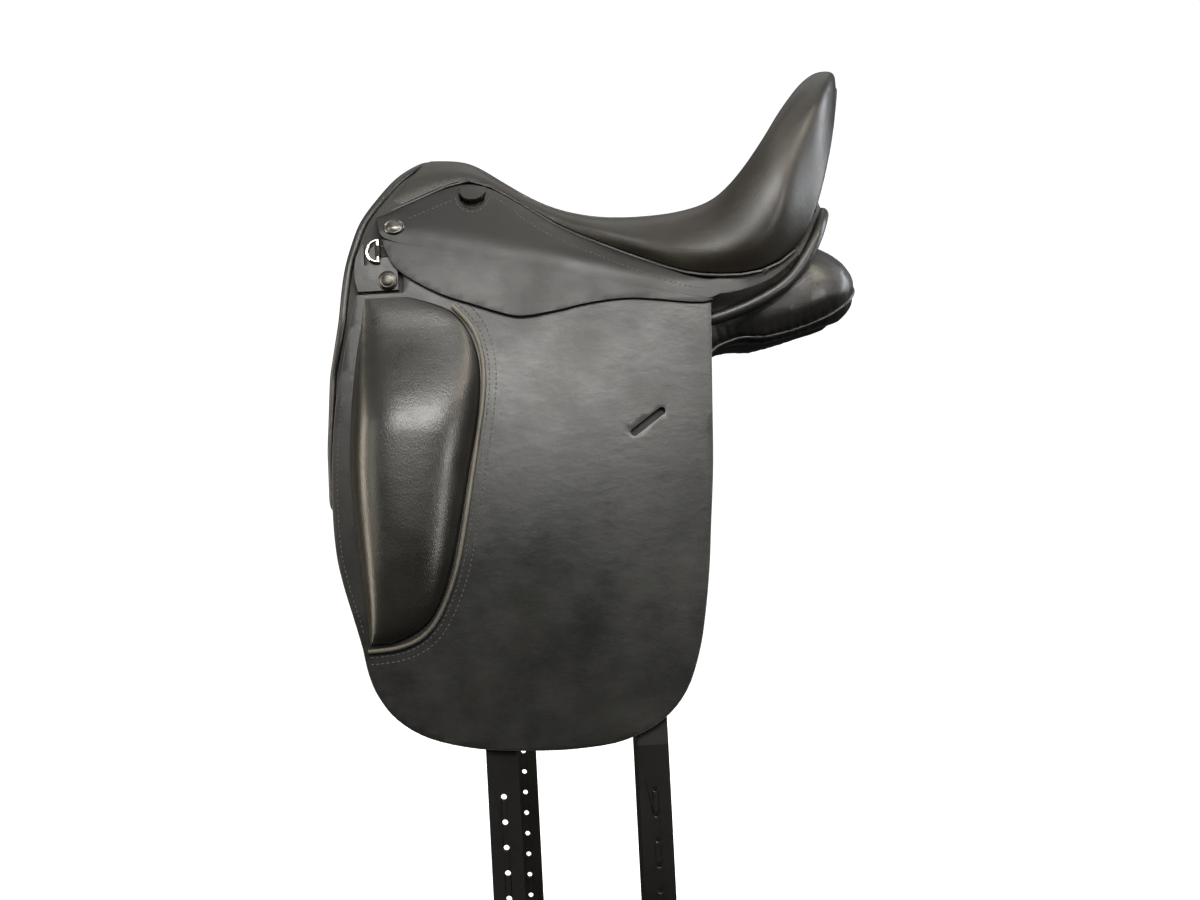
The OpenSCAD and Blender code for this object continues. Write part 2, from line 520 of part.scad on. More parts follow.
// The stirrup bar stands in an upright plane, with its arm parallel to the fold line.
bar_origin = [-174, -88, 30];
bar_angle = -fold_angle;
arm_t = 7;
arm_h = 12;
hinge_x = bar_len + 8;
bar_rivet_x = [4, 50];
bar_rivet_z = 28;
bar_plate_t = 3;
bar_plate_h = 44;
catch_t = 2.6;
module in_bar() translate(bar_origin) rotate([0, bar_angle, 0]) children();
module stirrup_bar() color(steel) in_bar() difference() {
    union() {
        translate([-8, 0, -8]) cube([bar_len + 8, bar_plate_t, bar_plate_h]);
        translate([0, -bar_gap - arm_t, -arm_h / 2]) cube([8, bar_gap + arm_t + 1, arm_h]);
        translate([4, -bar_gap - arm_t, -arm_h / 2]) cube([bar_len + 4, arm_t, arm_h]);
        for (x = [bar_len + 2, hinge_x]) translate([x, -bar_gap - arm_t / 2, 0]) rotate([90, 0, 0])
            cylinder(d = arm_h, h = arm_t, center = true);
    }
    translate([hinge_x - arm_h / 2 - 0.6, -bar_gap - arm_t / 2 - 1.6, -arm_h]) cube([arm_h * 2, 3.2, arm_h * 2]);
    for (x = bar_rivet_x) translate([x, 4, bar_rivet_z]) rotate([90, 0, 0])
        cylinder(r = rivet_r + rivet_play, h = 6);
}
module bar_catch() color(steel) in_bar() translate([hinge_x, -bar_gap - arm_t / 2, 0]) rotate([90, 0, 0]) {
    cylinder(d = arm_h - 2, h = catch_t, center = true);
    translate([0, -arm_h / 2 + 1, -catch_t / 2]) cube([13, arm_h - 2, catch_t]);
    translate([9, -arm_h / 2 + 1, -arm_t / 2]) cube([5, arm_h - 2, arm_t]);
}

billet_x = [-149, -149 + billet_spacing];
billet_top = 10;
billet_pivot = [0, -2];
billet_n = -flap_t - 1 - billet_t;     // its inner face
bend_t = -400;
billet_first_z = -432;
billet_tip_z = billet_first_z - billet_pitch * (billet_holes - 1) - 42;
billet_rivet_r = 3;
// A strap's side view: it lies behind the flap, then hangs straight down.
function billet_side() =
    let (bend = flap_yz(billet_n + billet_t, bend_t))
    [flap_yz(billet_n + billet_t, billet_top), bend, [bend[0], billet_tip_z], [bend[0] + billet_t, billet_tip_z],
        [bend[0] + billet_t, flap_yz(billet_n, bend_t)[1]], flap_yz(billet_n, billet_top)];
module billet(x) color(leather) difference() {
    intersection() {
        translate([x - billet_w / 2, 0, 0]) rotate([90, 0, 90]) linear_extrude(billet_w) polygon(billet_side());
        translate([x, 0, 0]) rotate([90, 0, 0]) linear_extrude(500, center = true) billet_outline();
    }
    for (k = [0 : billet_holes - 1])
        translate([x, 0, billet_first_z - k * billet_pitch]) rotate([90, 0, 0])
            cylinder(d = billet_hole_d, h = 500);
    on_flap(billet_n - 1) translate([x, billet_pivot[1], 0])
        cylinder(r = billet_rivet_r + rivet_play, h = billet_t + 2);
}
module billet_outline() {
    tip = 26;
    polygon(concat([[-billet_w / 2, 40], [-billet_w / 2, billet_tip_z + tip]],
        [for (a = [180 : 15 : 360]) [billet_w / 2 * cos(a), billet_tip_z + tip + (tip - 1) * sin(a)]],
        [[billet_w / 2, 40]]));
}
module billet_rivets() color(steel) for (side = [0, 1], x = billet_x) mirror([0, side, 0]) {
    on_flap(billet_n - 1) translate([x, billet_pivot[1], 0]) cylinder(r = billet_rivet_r, h = billet_t + 1);
}

// ---- nodes -----------------------------------------------------------------------------------------

tree_head();
tree_rails();
cantle_board();
head_plate();
gullet_plate();
cantle_plate();
spring_steels();
tree_rivets();
seat_webbing();
girth_webs();
seat_foam();
seat_cover();
cantle_back();
seat_welt();
rear_roll();
pommel_roll();
pommel_facing();
gullet_lining();
skirt_top();  // skirt_top_left
off_side() skirt_top();  // skirt_top_right
skirt();  // skirt_left
off_side() skirt();  // skirt_right
flap();  // flap_left
off_side() flap();  // flap_right
knee_foam();  // knee_foam_left
off_side() knee_foam();  // knee_foam_right
knee_cover();  // knee_cover_left
off_side() knee_cover();  // knee_cover_right
knee_piping();  // knee_piping_left
off_side() knee_piping();  // knee_piping_right
panel_top();  // panel_top_left
off_side() panel_top();  // panel_top_right
panel_base();  // panel_base_left
off_side() panel_base();  // panel_base_right
flocking();  // flocking_left
off_side() flocking();  // flocking_right
point_pocket();  // point_pocket_left
off_side() point_pocket();  // point_pocket_right
stirrup_bar();  // stirrup_bar_left
off_side() stirrup_bar();  // stirrup_bar_right
bar_catch();  // bar_catch_left
off_side() bar_catch();  // bar_catch_right
dee_ring();  // dee_ring_left
off_side() dee_ring();  // dee_ring_right
dee_chapes();
nail_heads();
point_studs();
billet_rivets();
billet(billet_x[0]);  // billet_front_left
billet(billet_x[1]);  // billet_rear_left
off_side() billet(billet_x[0]);  // billet_front_right
off_side() billet(billet_x[1]);  // billet_rear_right
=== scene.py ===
import json
import math

import bmesh
import bpy
import numpy as np
from mathutils import Matrix, Vector
from mathutils.bvhtree import BVHTree
from mathutils.kdtree import KDTree


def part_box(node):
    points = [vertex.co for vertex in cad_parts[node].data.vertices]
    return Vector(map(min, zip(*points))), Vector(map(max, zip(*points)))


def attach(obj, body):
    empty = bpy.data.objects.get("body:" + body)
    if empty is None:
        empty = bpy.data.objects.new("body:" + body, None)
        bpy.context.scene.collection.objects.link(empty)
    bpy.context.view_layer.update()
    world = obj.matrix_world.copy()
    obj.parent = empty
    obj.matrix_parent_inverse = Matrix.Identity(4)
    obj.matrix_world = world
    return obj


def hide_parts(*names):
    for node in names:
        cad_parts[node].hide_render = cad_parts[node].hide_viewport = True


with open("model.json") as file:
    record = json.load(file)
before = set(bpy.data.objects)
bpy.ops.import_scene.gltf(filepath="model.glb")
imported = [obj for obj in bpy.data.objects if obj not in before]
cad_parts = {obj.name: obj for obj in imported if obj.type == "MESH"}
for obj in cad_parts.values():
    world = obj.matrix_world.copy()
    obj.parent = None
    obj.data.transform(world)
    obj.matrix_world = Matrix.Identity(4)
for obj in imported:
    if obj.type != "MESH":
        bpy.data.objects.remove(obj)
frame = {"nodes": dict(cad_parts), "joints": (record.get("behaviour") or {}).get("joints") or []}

# An english dressage saddle: the leatherwork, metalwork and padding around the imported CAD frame.
# Metres, in the frame of the CAD: -X the pommel, -Y the near (left) side, +Z up.
# Everything paired is made for the near side and mirrored to the off side.

MM = 0.001
scene = bpy.context.scene
nodes = frame["nodes"]
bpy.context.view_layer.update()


def placed(name, data):
    """A new object in the scene."""
    made = bpy.data.objects.new(name, data)
    scene.collection.objects.link(made)
    return made


# ---- camera, light and floor ----

CAMERA_AT = Vector((-0.0504, -1.9, -0.137))
CAMERA_ROLL = math.radians(3)
CAMERA_LENS = 58.95
FLOOR_Z = -0.68
FLOOR_HALF = 9.0
BACKDROP_Y = 5.0
BACKDROP_TOP = 5.0
BACKDROP_BEND = 1.6
FLOOR_GLOW = 0.93


def make_camera():
    data = bpy.data.cameras.new("camera")
    data.lens = CAMERA_LENS
    data.sensor_width = 36
    camera = placed("camera", data)
    c, s = math.cos(CAMERA_ROLL), math.sin(CAMERA_ROLL)
    turn = Matrix(((c, s, 0), (0, 0, -1), (-s, c, 0))).to_4x4()
    camera.matrix_world = Matrix.Translation(CAMERA_AT) @ turn
    scene.camera = camera


def area_light(name, at, target, size, power, colour):
    data = bpy.data.lights.new(name, "AREA")
    data.shape = "RECTANGLE"
    data.size, data.size_y = size
    data.energy = power
    data.color = colour
    light = placed(name, data)
    light.location = at
    light.rotation_euler = (Vector(target) - Vector(at)).to_track_quat("-Z", "Y").to_euler()
    light.visible_camera = False


STUDIO_LIGHTS = {
    # name: (place, aimed at, size, power, colour)
    "key_high": ((0.02, -1.22, 0.78), (-0.03, -0.13, 0.0), (1.0, 0.4), 20, (1, 0.985, 0.95)),
    "key_mid": ((-0.1, -2.0, 0.75), (-0.05, 0, -0.1), (1.1, 0.4), 1.5, (1, 0.985, 0.95)),
    "key_side": ((-1.5, -1.3, 0.5), (-0.1, 0, -0.1), (0.5, 1.1), 6, (1, 0.95, 0.86)),
    "key_right": ((1.3, -1.4, 0.15), (-0.05, 0, -0.05), (0.35, 0.9), 12, (1, 0.97, 0.93)),
    "ridge": ((0.9, -0.8, 1.05), (0.17, -0.05, 0.15), (0.3, 0.6), 8, (1, 0.9, 0.74)),
    "overhead": ((0.1, -0.1, 1.7), (0, 0, 0), (1.8, 1.2), 5, (1, 0.96, 0.88)),
    "rim": ((1.4, 0.3, 0.4), (0.15, 0, 0.1), (0.4, 1.0), 14, (0.93, 0.96, 1)),
    "front": ((-1.4, -0.4, 0.0), (-0.25, 0, -0.1), (0.3, 1.2), 12, (1, 0.9, 0.72)),
    "behind": ((0.2, 1.3, 1.5), (0, 0, 0), (1.6, 0.8), 2, (1, 0.96, 0.88)),
    "off_side": ((0.1, 2.2, 0.3), (-0.05, 0.1, -0.1), (1.4, 0.5), 16, (1, 0.985, 0.95)),
}
WORLD_LEVELS = ((0.0, 0.02), (0.5, 0.04), (0.68, 0.12), (0.85, 0.35), (1.0, 0.5))


def make_light():
    for name, settings in STUDIO_LIGHTS.items():
        area_light(name, *settings)
    make_world()


def make_world():
    """A dim room, paler towards its top, that the camera sees as plain white."""
    world = bpy.data.worlds.new("studio")
    world.use_nodes = True
    tree = world.node_tree
    tree.nodes.clear()

    def node(kind, *sources):
        """A new node with its first inputs joined to these outputs."""
        made = tree.nodes.new("ShaderNode" + kind)
        for socket, source in zip(made.inputs, sources):
            tree.links.new(source, socket)
        return made

    height = node("SeparateXYZ", node("TexCoord").outputs["Generated"])
    level = node("MapRange", height.outputs["Z"])
    level.inputs["From Min"].default_value = -1
    ramp = node("ValToRGB", level.outputs[0])
    stops = ramp.color_ramp.elements
    for index, (place, strength) in enumerate(WORLD_LEVELS):
        stop = stops[index] if index < 2 else stops.new(place)
        stop.position = place
        stop.color = (strength, strength, strength, 1)
    room = node("Background", ramp.outputs[0])
    pale = node("Background")
    pale.inputs["Color"].default_value = (1, 1, 1, 1)
    seen = node("LightPath").outputs["Is Camera Ray"]
    node("OutputWorld", node("MixShader", seen, room.outputs[0], pale.outputs[0]).outputs[0])
    scene.world = world
    scene.view_settings.view_transform = "Standard"


def make_floor():
    """A pale sweep: a floor that curves up into a backdrop."""
    bend = BACKDROP_BEND
    line = [(-FLOOR_HALF, FLOOR_Z), (BACKDROP_Y - bend, FLOOR_Z)]
    line += [(BACKDROP_Y - bend + bend * math.sin(a), FLOOR_Z + bend - bend * math.cos(a))
             for a in np.linspace(0.1, math.pi / 2, 15)]
    line += [(BACKDROP_Y, BACKDROP_TOP)]
    rows = np.array([[(x, y, z) for y, z in line] for x in (-FLOOR_HALF, FLOOR_HALF)])
    mesh = grid_mesh("floor", rows)
    floor = placed("floor", mesh)
    mesh.materials.append(pale_material("floor", (0.83, 0.83, 0.82), 0.8, FLOOR_GLOW))
    floor.visible_diffuse = floor.visible_glossy = False


# ---- materials ----

class Nodes:
    """A short way to write a material's node tree."""

    def __init__(self, name, roughness, metallic=0.0, coat=0.0, coat_roughness=0.2, specular=0.5):
        self.material = bpy.data.materials.new(name)
        self.material.use_nodes = True
        self.tree = self.material.node_tree
        self.tree.nodes.clear()
        out = self.tree.nodes.new("ShaderNodeOutputMaterial")
        self.shader = self.tree.nodes.new("ShaderNodeBsdfPrincipled")
        self.tree.links.new(self.shader.outputs[0], out.inputs["Surface"])
        for socket, value in (("Roughness", roughness), ("Metallic", metallic), ("Coat Weight", coat),
                              ("Coat Roughness", coat_roughness), ("Specular IOR Level", specular)):
            self.shader.inputs[socket].default_value = value
        self.where = self.tree.nodes.new("ShaderNodeTexCoord").outputs["Object"]

    def add(self, kind, inputs=(), **settings):
        node = self.tree.nodes.new("ShaderNode" + kind)
        for key, value in settings.items():
            setattr(node, key, value)
        for key, value in dict(inputs).items():
            if isinstance(value, bpy.types.NodeSocket):
                self.tree.links.new(value, node.inputs[key])
            else:
                node.inputs[key].default_value = value
        return node

    def stretched(self, scale, turn=(0, 0, 0)):
        return self.add("Mapping", {"Vector": self.where, "Scale": scale, "Rotation": turn}).outputs[0]

    def noise(self, size, detail=3.0, roughness=0.55, vector=None):
        return self.add("TexNoise", {"Vector": vector or self.where, "Scale": 1 / size, "Detail": detail,
                                     "Roughness": roughness}).outputs["Fac"]

    def cells(self, size, vector):
        """How far a point is from the nearest edge of its cell."""
        return self.add("TexVoronoi", {"Vector": vector, "Scale": 1 / size},
                        feature="DISTANCE_TO_EDGE").outputs["Distance"]

    def bands(self, size, direction, distortion):
        return self.add("TexWave", {"Vector": self.where, "Scale": 0.314 / size, "Distortion": distortion,
                                    "Detail": 1.0}, bands_direction=direction).outputs["Fac"]

    def ramp(self, fac, low, high, to_low=0.0, to_high=1.0):
        return self.add("MapRange", {"Value": fac, "From Min": low, "From Max": high, "To Min": to_low,
                                     "To Max": to_high}, interpolation_type="SMOOTHSTEP").outputs[0]

    def math(self, operation, a, b):
        return self.add("Math", {0: a, 1: b}, operation=operation).outputs[0]

    def mix(self, fac, a, b):
        node = self.add("Mix", {"Factor": fac}, data_type="RGBA")
        for key, value in ((6, a), (7, b)):
            if isinstance(value, bpy.types.NodeSocket):
                self.tree.links.new(value, node.inputs[key])
            else:
                node.inputs[key].default_value = (*value, 1)
        return node.outputs[2]

    def set(self, socket, value):
        self.tree.links.new(value, self.shader.inputs[socket])

    def bump(self, height, depth, under=None):
        inputs = {"Height": height, "Distance": depth, "Strength": 1.0}
        if under is not None:
            inputs["Normal"] = under
        return self.add("Bump", inputs).outputs[0]


def pale_material(name, colour, roughness, glow):
    n = Nodes(name, roughness, specular=0.0)
    n.shader.inputs["Emission Color"].default_value = (1, 1, 1, 1)
    n.shader.inputs["Emission Strength"].default_value = glow
    n.set("Base Color", n.mix(n.noise(0.5), colour, tuple(c * 0.97 for c in colour)))
    return n.material


CLOUD_SIZE = 70 * MM
CREASE_SIZE = 18 * MM
FINE_SIZE = 0.4 * MM


def leather(name, dark, light, roughness, grain, grain_depth, pebbled=False, coat=0.0, specular=0.5):
    """Leather with cloudy colour, a grain of that size, faint creases and uneven gloss."""
    n = Nodes(name, roughness, coat=coat, coat_roughness=0.28, specular=specular)
    fine = n.noise(grain * 0.7, 2.0)
    cloud = n.math("ADD", n.noise(CLOUD_SIZE, 4.0), n.math("MULTIPLY", fine, 0.25))
    n.set("Base Color", n.mix(n.ramp(cloud, 0.38, 0.85), dark, light))
    uneven = n.math("ADD", n.noise(CLOUD_SIZE * 0.6, 3.0), n.math("MULTIPLY", fine, 0.3))
    n.set("Roughness", n.ramp(uneven, 0.35, 0.95, roughness - 0.06, roughness + 0.09))
    soft = n.bump(n.noise(CREASE_SIZE, 4.0, 0.6, n.stretched((1, 1, 1.6))), 0.25 * MM)
    if pebbled:
        wander = n.add("TexNoise", {"Vector": n.where, "Scale": 1 / (grain * 2.2), "Detail": 1.0})
        bent = n.add("VectorMath", {0: wander.outputs["Color"], 1: (grain * 0.7,) * 3,
                                    2: n.stretched((1, 1, 0.62), (0, 0.45, 0))}, operation="MULTIPLY_ADD")
        pattern = n.ramp(n.cells(grain, bent.outputs[0]), 0.0, 0.32)
    else:
        pattern = n.ramp(n.cells(grain, n.stretched((1, 1, 0.8))), 0.0, 0.2)
    soft = n.bump(pattern, grain_depth, soft)
    n.set("Normal", n.bump(n.noise(FINE_SIZE, 2.0), 0.006 * MM, soft))
    return n.material


def metal(name, colour, roughness, tarnish, spread):
    """Metal with faint scratches, and tarnish in patches."""
    n = Nodes(name, roughness, metallic=1.0)
    patch = n.ramp(n.noise(0.006, 4.0), 0.45, 0.8)
    n.set("Base Color", n.mix(patch, colour, tarnish))
    scratches = n.noise(0.5 * MM, 4.0, 0.7, n.stretched((1, 0.12, 1), (0.3, 0.2, 0.9)))
    n.set("Roughness", n.ramp(n.math("ADD", scratches, patch), 0.3, 1.6, roughness, roughness + spread))
    n.set("Normal", n.bump(scratches, 0.02 * MM))
    return n.material


def laminated_wood(name):
    n = Nodes(name, 0.5, coat=0.25)
    plies = n.bands(1.6 * MM, "Z", 0.6)
    grain = n.noise(0.9 * MM, 5.0, 0.6, n.stretched((0.12, 0.12, 1)))
    colour = n.mix(n.ramp(grain, 0.3, 0.75), (0.34, 0.19, 0.09), (0.62, 0.42, 0.24))
    n.set("Base Color", n.mix(n.ramp(plies, 0.45, 0.55), colour, (0.25, 0.13, 0.06)))
    n.set("Roughness", n.ramp(grain, 0.3, 0.8, 0.38, 0.6))
    n.set("Normal", n.bump(grain, 0.12 * MM))
    return n.material


def webbing(name, colour, pale):
    n = Nodes(name, 0.85)
    warp = n.bands(1.5 * MM, "Y", 0.2)
    weft = n.bands(1.5 * MM, "X", 0.2)
    weave = n.math("MULTIPLY", warp, weft)
    # dark in the weave's hollows and pale on its crossings, the pattern the bump follows: painted shade and
    # painted highlight
    n.set("Base Color", n.mix(n.ramp(weave, 0.1, 0.8), colour, pale))
    fuzz = n.noise(0.4 * MM, 3.0)
    n.set("Roughness", n.ramp(fuzz, 0.3, 0.7, 0.75, 0.95))
    n.set("Normal", n.bump(fuzz, 0.1 * MM, n.bump(weave, 0.5 * MM)))
    return n.material


def thread(name, colour):
    n = Nodes(name, 0.55)
    twist = n.bands(0.5 * MM, "DIAGONAL", 0.3)
    # darker in the grooves of the twist, which the bump also follows: painted shade
    n.set("Base Color", n.mix(twist, tuple(c * 0.55 for c in colour), colour))
    n.set("Roughness", n.ramp(twist, 0.2, 0.8, 0.45, 0.65))
    n.set("Normal", n.bump(twist, 0.1 * MM))
    return n.material


def make_materials():
    black = (0.005, 0.005, 0.0045)
    grey = (0.014, 0.0135, 0.012)
    return {
        # leather: dark and light colour, roughness, size and depth of the grain
        "seat": leather("seat_leather", (0.008, 0.007, 0.005), (0.019, 0.016, 0.0115), 0.36,
                        1.1 * MM, 0.05 * MM, coat=0.12),
        "skirt": leather("skirt_leather", (0.005, 0.005, 0.0044), (0.011, 0.011, 0.0098), 0.44,
                         0.9 * MM, 0.012 * MM),
        "flap": leather("flap_leather", (0.005, 0.005, 0.0045), (0.0125, 0.0125, 0.011), 0.34,
                        0.9 * MM, 0.010 * MM),
        # the cut edges: much lighter than the leather's face, partly worn edge colour and partly a painted
        # highlight
        "edge": leather("worn_edge_and_painted_highlight", (0.045, 0.042, 0.036), (0.10, 0.095, 0.085), 0.34,
                        0.7 * MM, 0.03 * MM),
        "knee": leather("knee_leather", (0.007, 0.0066, 0.0052), (0.016, 0.015, 0.012), 0.31,
                        2.3 * MM, 0.05 * MM, pebbled=True, coat=0.2),
        # the knee block's piping: grey-tan, partly worn leather and partly a painted highlight
        "piping": leather("piping_leather", (0.06, 0.053, 0.042), (0.14, 0.125, 0.10), 0.38,
                          0.8 * MM, 0.05 * MM),
        "panel": leather("panel_leather", black, grey, 0.32, 1.3 * MM, 0.07 * MM, coat=0.25),
        "roll": leather("roll_leather", black, grey, 0.33, 1.1 * MM, 0.05 * MM, coat=0.2),
        "lining": leather("lining_leather", (0.016, 0.014, 0.012), (0.035, 0.031, 0.026), 0.62,
                          1.2 * MM, 0.08 * MM),
        "strap": leather("strap_leather", (0.004, 0.0038, 0.0034), (0.009, 0.0085, 0.0075), 0.55,
                         1.0 * MM, 0.02 * MM, specular=0.3),
        "thread": thread("black_thread", (0.085, 0.082, 0.074)),
        "chrome": metal("chrome", (0.80, 0.79, 0.76), 0.12, (0.45, 0.42, 0.37), 0.2),
        "silver": metal("nail_silver", (0.15, 0.146, 0.136), 0.27, (0.06, 0.057, 0.05), 0.2),
        "bronze": metal("stud_bronze", (0.075, 0.07, 0.062), 0.3, (0.035, 0.032, 0.028), 0.2),
        "bar": metal("bar_steel", (0.56, 0.55, 0.53), 0.3, (0.33, 0.31, 0.28), 0.2),
        "plate": metal("plate_steel", (0.42, 0.42, 0.42), 0.42, (0.22, 0.20, 0.18), 0.2),
        "spring": metal("spring_steel", (0.24, 0.26, 0.31), 0.36, (0.13, 0.14, 0.18), 0.2),
        "wood": laminated_wood("tree_wood"),
        "web": webbing("webbing", (0.30, 0.25, 0.17), (0.62, 0.55, 0.42)),
    }


# ---- mesh helpers ----

def built(name, verts, faces):
    mesh = bpy.data.meshes.new(name)
    mesh.from_pydata(verts.tolist(), [], faces)
    mesh.shade_smooth()
    return mesh


def grid_mesh(name, rows):
    """A mesh of quads from an array of rows of points."""
    count, across = rows.shape[:2]
    faces = [(i * across + j, i * across + j + 1, (i + 1) * across + j + 1, (i + 1) * across + j)
             for i in range(count - 1) for j in range(across - 1)]
    return built(name, rows.reshape(-1, 3), faces)


def welded(*names):
    """The CAD nodes' meshes in one bmesh, with the points that tessellation split joined up again."""
    bm = bmesh.new()
    for name in names:
        bm.from_mesh(nodes[name].data)
    bmesh.ops.remove_doubles(bm, verts=bm.verts, dist=0.01 * MM)
    bm.normal_update()
    return bm


def bmesh_of(mesh):
    bm = bmesh.new()
    bm.from_mesh(mesh)
    bm.normal_update()
    return bm


def bm_mesh(name, bm):
    mesh = bpy.data.meshes.new(name)
    bm.to_mesh(mesh)
    bm.free()
    return mesh


def with_modifiers(mesh, *modifiers):
    """The mesh with these modifiers, each (type, settings), applied."""
    holder = placed("holder", mesh)
    for kind, settings in modifiers:
        modifier = holder.modifiers.new(kind, kind)
        for key, value in settings.items():
            setattr(modifier, key, value)
    bpy.context.view_layer.update()
    made = bpy.data.meshes.new_from_object(holder.evaluated_get(bpy.context.evaluated_depsgraph_get()))
    bpy.data.objects.remove(holder)
    return made


def subdivided(mesh, levels):
    return with_modifiers(mesh, ("SUBSURF", {"levels": levels, "render_levels": levels}))


def quads(bm):
    """Joins the triangles in pairs where they lie nearly flat."""
    bmesh.ops.join_triangles(bm, faces=bm.faces, angle_face_threshold=math.radians(50),
                             angle_shape_threshold=math.radians(70))


def islands(starts, neighbours):
    """The groups in which every element is reached from the others through neighbours."""
    seen, groups = set(), []
    for start in starts:
        if start in seen:
            continue
        seen.add(start)
        group, todo = [], [start]
        while todo:
            one = todo.pop()
            group.append(one)
            for other in neighbours(one):
                if other not in seen:
                    seen.add(other)
                    todo.append(other)
        groups.append(group)
    return groups


def sheet_face(name, facing, sharp=50):
    """The side of a thick CAD sheet that faces a direction, as an open bmesh."""
    bm = welded(name)
    limit = math.radians(sharp)

    def smoothly_joined(face):
        return [f for e in face.edges if e.calc_face_angle(9) < limit for f in e.link_faces]

    def area_facing(faces):
        return sum(f.calc_area() * f.normal.dot(Vector(facing)) for f in faces)

    keep = set(max(islands(bm.faces, smoothly_joined), key=area_facing))
    bmesh.ops.delete(bm, geom=[f for f in bm.faces if f not in keep], context="FACES")
    quads(bm)
    return bm


def outer_faces(name, facing, least):
    """The faces of a CAD solid that look one way, as an open bmesh."""
    bm = welded(name)
    facing = Vector(facing)
    bmesh.ops.delete(bm, geom=[f for f in bm.faces if f.normal.dot(facing) < least], context="FACES")
    return bm


def outline(bm):
    """The longest loop of open edges, as points in order."""
    edges = {e for e in bm.edges if e.is_boundary}
    loops = []
    while edges:
        edge = min(edges, key=lambda e: e.index)
        edges.discard(edge)
        loop = [edge.verts[0], edge.verts[1]]
        while loop[-1] is not loop[0]:
            following = next((e for e in loop[-1].link_edges if e in edges), None)
            if following is None:
                break
            edges.discard(following)
            loop.append(following.other_vert(loop[-1]))
        loops.append(loop)
    return np.array([list(v.co) for v in max(loops, key=len)])


def points_of(mesh, what="co"):
    """The mesh's points, or their normals, as an array."""
    values = np.zeros(len(mesh.vertices) * 3)
    mesh.vertices.foreach_get(what, values)
    return values.reshape(-1, 3)


def largest_shell(mesh):
    """Only the largest connected part of a mesh."""
    bm = bmesh_of(mesh)
    keep = set(max(islands(bm.verts, lambda v: [e.other_vert(v) for e in v.link_edges]), key=len))
    bmesh.ops.delete(bm, geom=[v for v in bm.verts if v not in keep], context="VERTS")
    return bm_mesh(mesh.name, bm)


PUFF_FRAMES = 20
CLEARANCE = 0.6 * MM


def remeshed(mesh, voxel):
    return largest_shell(with_modifiers(mesh, ("REMESH", {"mode": "VOXEL", "voxel_size": voxel}),
                                        ("SMOOTH", {"factor": 0.5, "iterations": 2})))


def rim_points(mesh):
    """The points on a mesh's open edges."""
    bm = bmesh_of(mesh)
    rim = [v.index for v in bm.verts if v.is_boundary]
    bm.free()
    return rim


def puffed(mesh, pressure, most, near):
    """A pad blown up by cloth simulation, held along its open edge.

    No point moves further than most, or up to near.
    """
    start = points_of(mesh)
    holder = placed("pad", mesh)
    held = holder.vertex_groups.new(name="held")
    held.add(rim_points(mesh), 1.0, "REPLACE")
    cloth = holder.modifiers.new("cloth", "CLOTH")
    cloth.settings.use_pressure = True
    cloth.settings.uniform_pressure_force = pressure
    cloth.settings.effector_weights.gravity = 0
    cloth.settings.vertex_group_mass = "held"
    cloth.point_cache.frame_end = PUFF_FRAMES
    for number in range(1, PUFF_FRAMES + 1):
        scene.frame_set(number)
    end = points_of(holder.evaluated_get(bpy.context.evaluated_depsgraph_get()).data)
    bpy.data.objects.remove(holder)
    scene.frame_set(1)
    shift = end - start
    length = np.linalg.norm(shift, axis=1)
    room = np.full(len(start), most)
    for i in np.nonzero(length > 1e-6)[0]:
        way = Vector(shift[i] / length[i])
        hit = near.ray_cast(Vector(start[i]), way, most + 2 * MM)
        if hit[0] is not None:
            room[i] = max(0, min(most, hit[3] - CLEARANCE))
    shift *= np.minimum(1, room / np.maximum(length, 1e-9))[:, None]
    moved(mesh, lambda points: points + shift)
    return with_modifiers(mesh, ("SMOOTH", {"factor": 0.5, "iterations": 2}))


PUCKER_REACH = 26 * MM
PUCKER_DEPTH = 0.9 * MM
PUCKER_SPACING = 9.5 * MM
SEAM_GROOVE = 1.2 * MM


def puckered(mesh, seam):
    """Pulls a pad in along a seam, with small folds that run in from it."""
    line = along(seam, 1 * MM)
    tree = KDTree(len(line))
    for i, point in enumerate(line):
        tree.insert(point, i)
    tree.balance()
    normals = points_of(mesh, "normal")
    found = [tree.find(p) for p in points_of(mesh)]
    gap = np.array([f[2] for f in found])
    at = np.array([f[1] for f in found]) * MM
    fade = np.clip(1 - gap / PUCKER_REACH, 0, 1) ** 1.6 * step_up(gap, 0.5 * MM, 4 * MM)
    phase = 2 * math.pi * at / PUCKER_SPACING + 1.9 * np.sin(at / (31 * MM)) + 1.1 * np.sin(at / (12.3 * MM))
    uneven = 0.55 + 0.45 * np.sin(at / (23 * MM) + 0.7) * np.sin(at / (57 * MM))
    lift = PUCKER_DEPTH * fade * uneven * np.sin(phase) - SEAM_GROOVE * np.exp(-(gap / (3.5 * MM)) ** 2)
    return moved(mesh, lambda points: points + normals * lift[:, None])


def ribbon(one, other, thickness, across=4):
    """A strip of leather between two lines."""
    share = np.linspace(0, 1, across)[None, :, None]
    rows = np.asarray(one)[:, None] * (1 - share) + np.asarray(other)[:, None] * share
    return shaded(thickened(grid_mesh("strip", rows), thickness, 0.0), 50)


LATHE_SIDES = 40


def lathe(centre, normal, wide, tall, profile):
    """A round or oval button on a surface: profile holds (share of the radius, height)."""
    normal = Vector(normal).normalized()
    across = (Vector((1, 0, 0)) - normal * normal.x).normalized()
    up = normal.cross(across)
    bm = bmesh.new()
    rings = []
    for share, height in profile:
        ring = []
        for k in range(LATHE_SIDES if share > 0 else 1):
            q = 2 * math.pi * k / LATHE_SIDES
            out = share * (across * wide * math.cos(q) + up * tall * math.sin(q))
            ring.append(bm.verts.new(Vector(centre) + out + normal * height))
        rings.append(ring)
    for low, high in zip(rings[:-1], rings[1:]):
        for k in range(LATHE_SIDES):
            j = (k + 1) % LATHE_SIDES
            bm.faces.new((low[k], low[j], high[0]) if len(high) == 1 else (low[k], low[j], high[j], high[k]))
    bm.faces.new(list(reversed(rings[0])))
    bmesh.ops.recalc_face_normals(bm, faces=bm.faces)
    return shaded(bm_mesh("button", bm), 35)


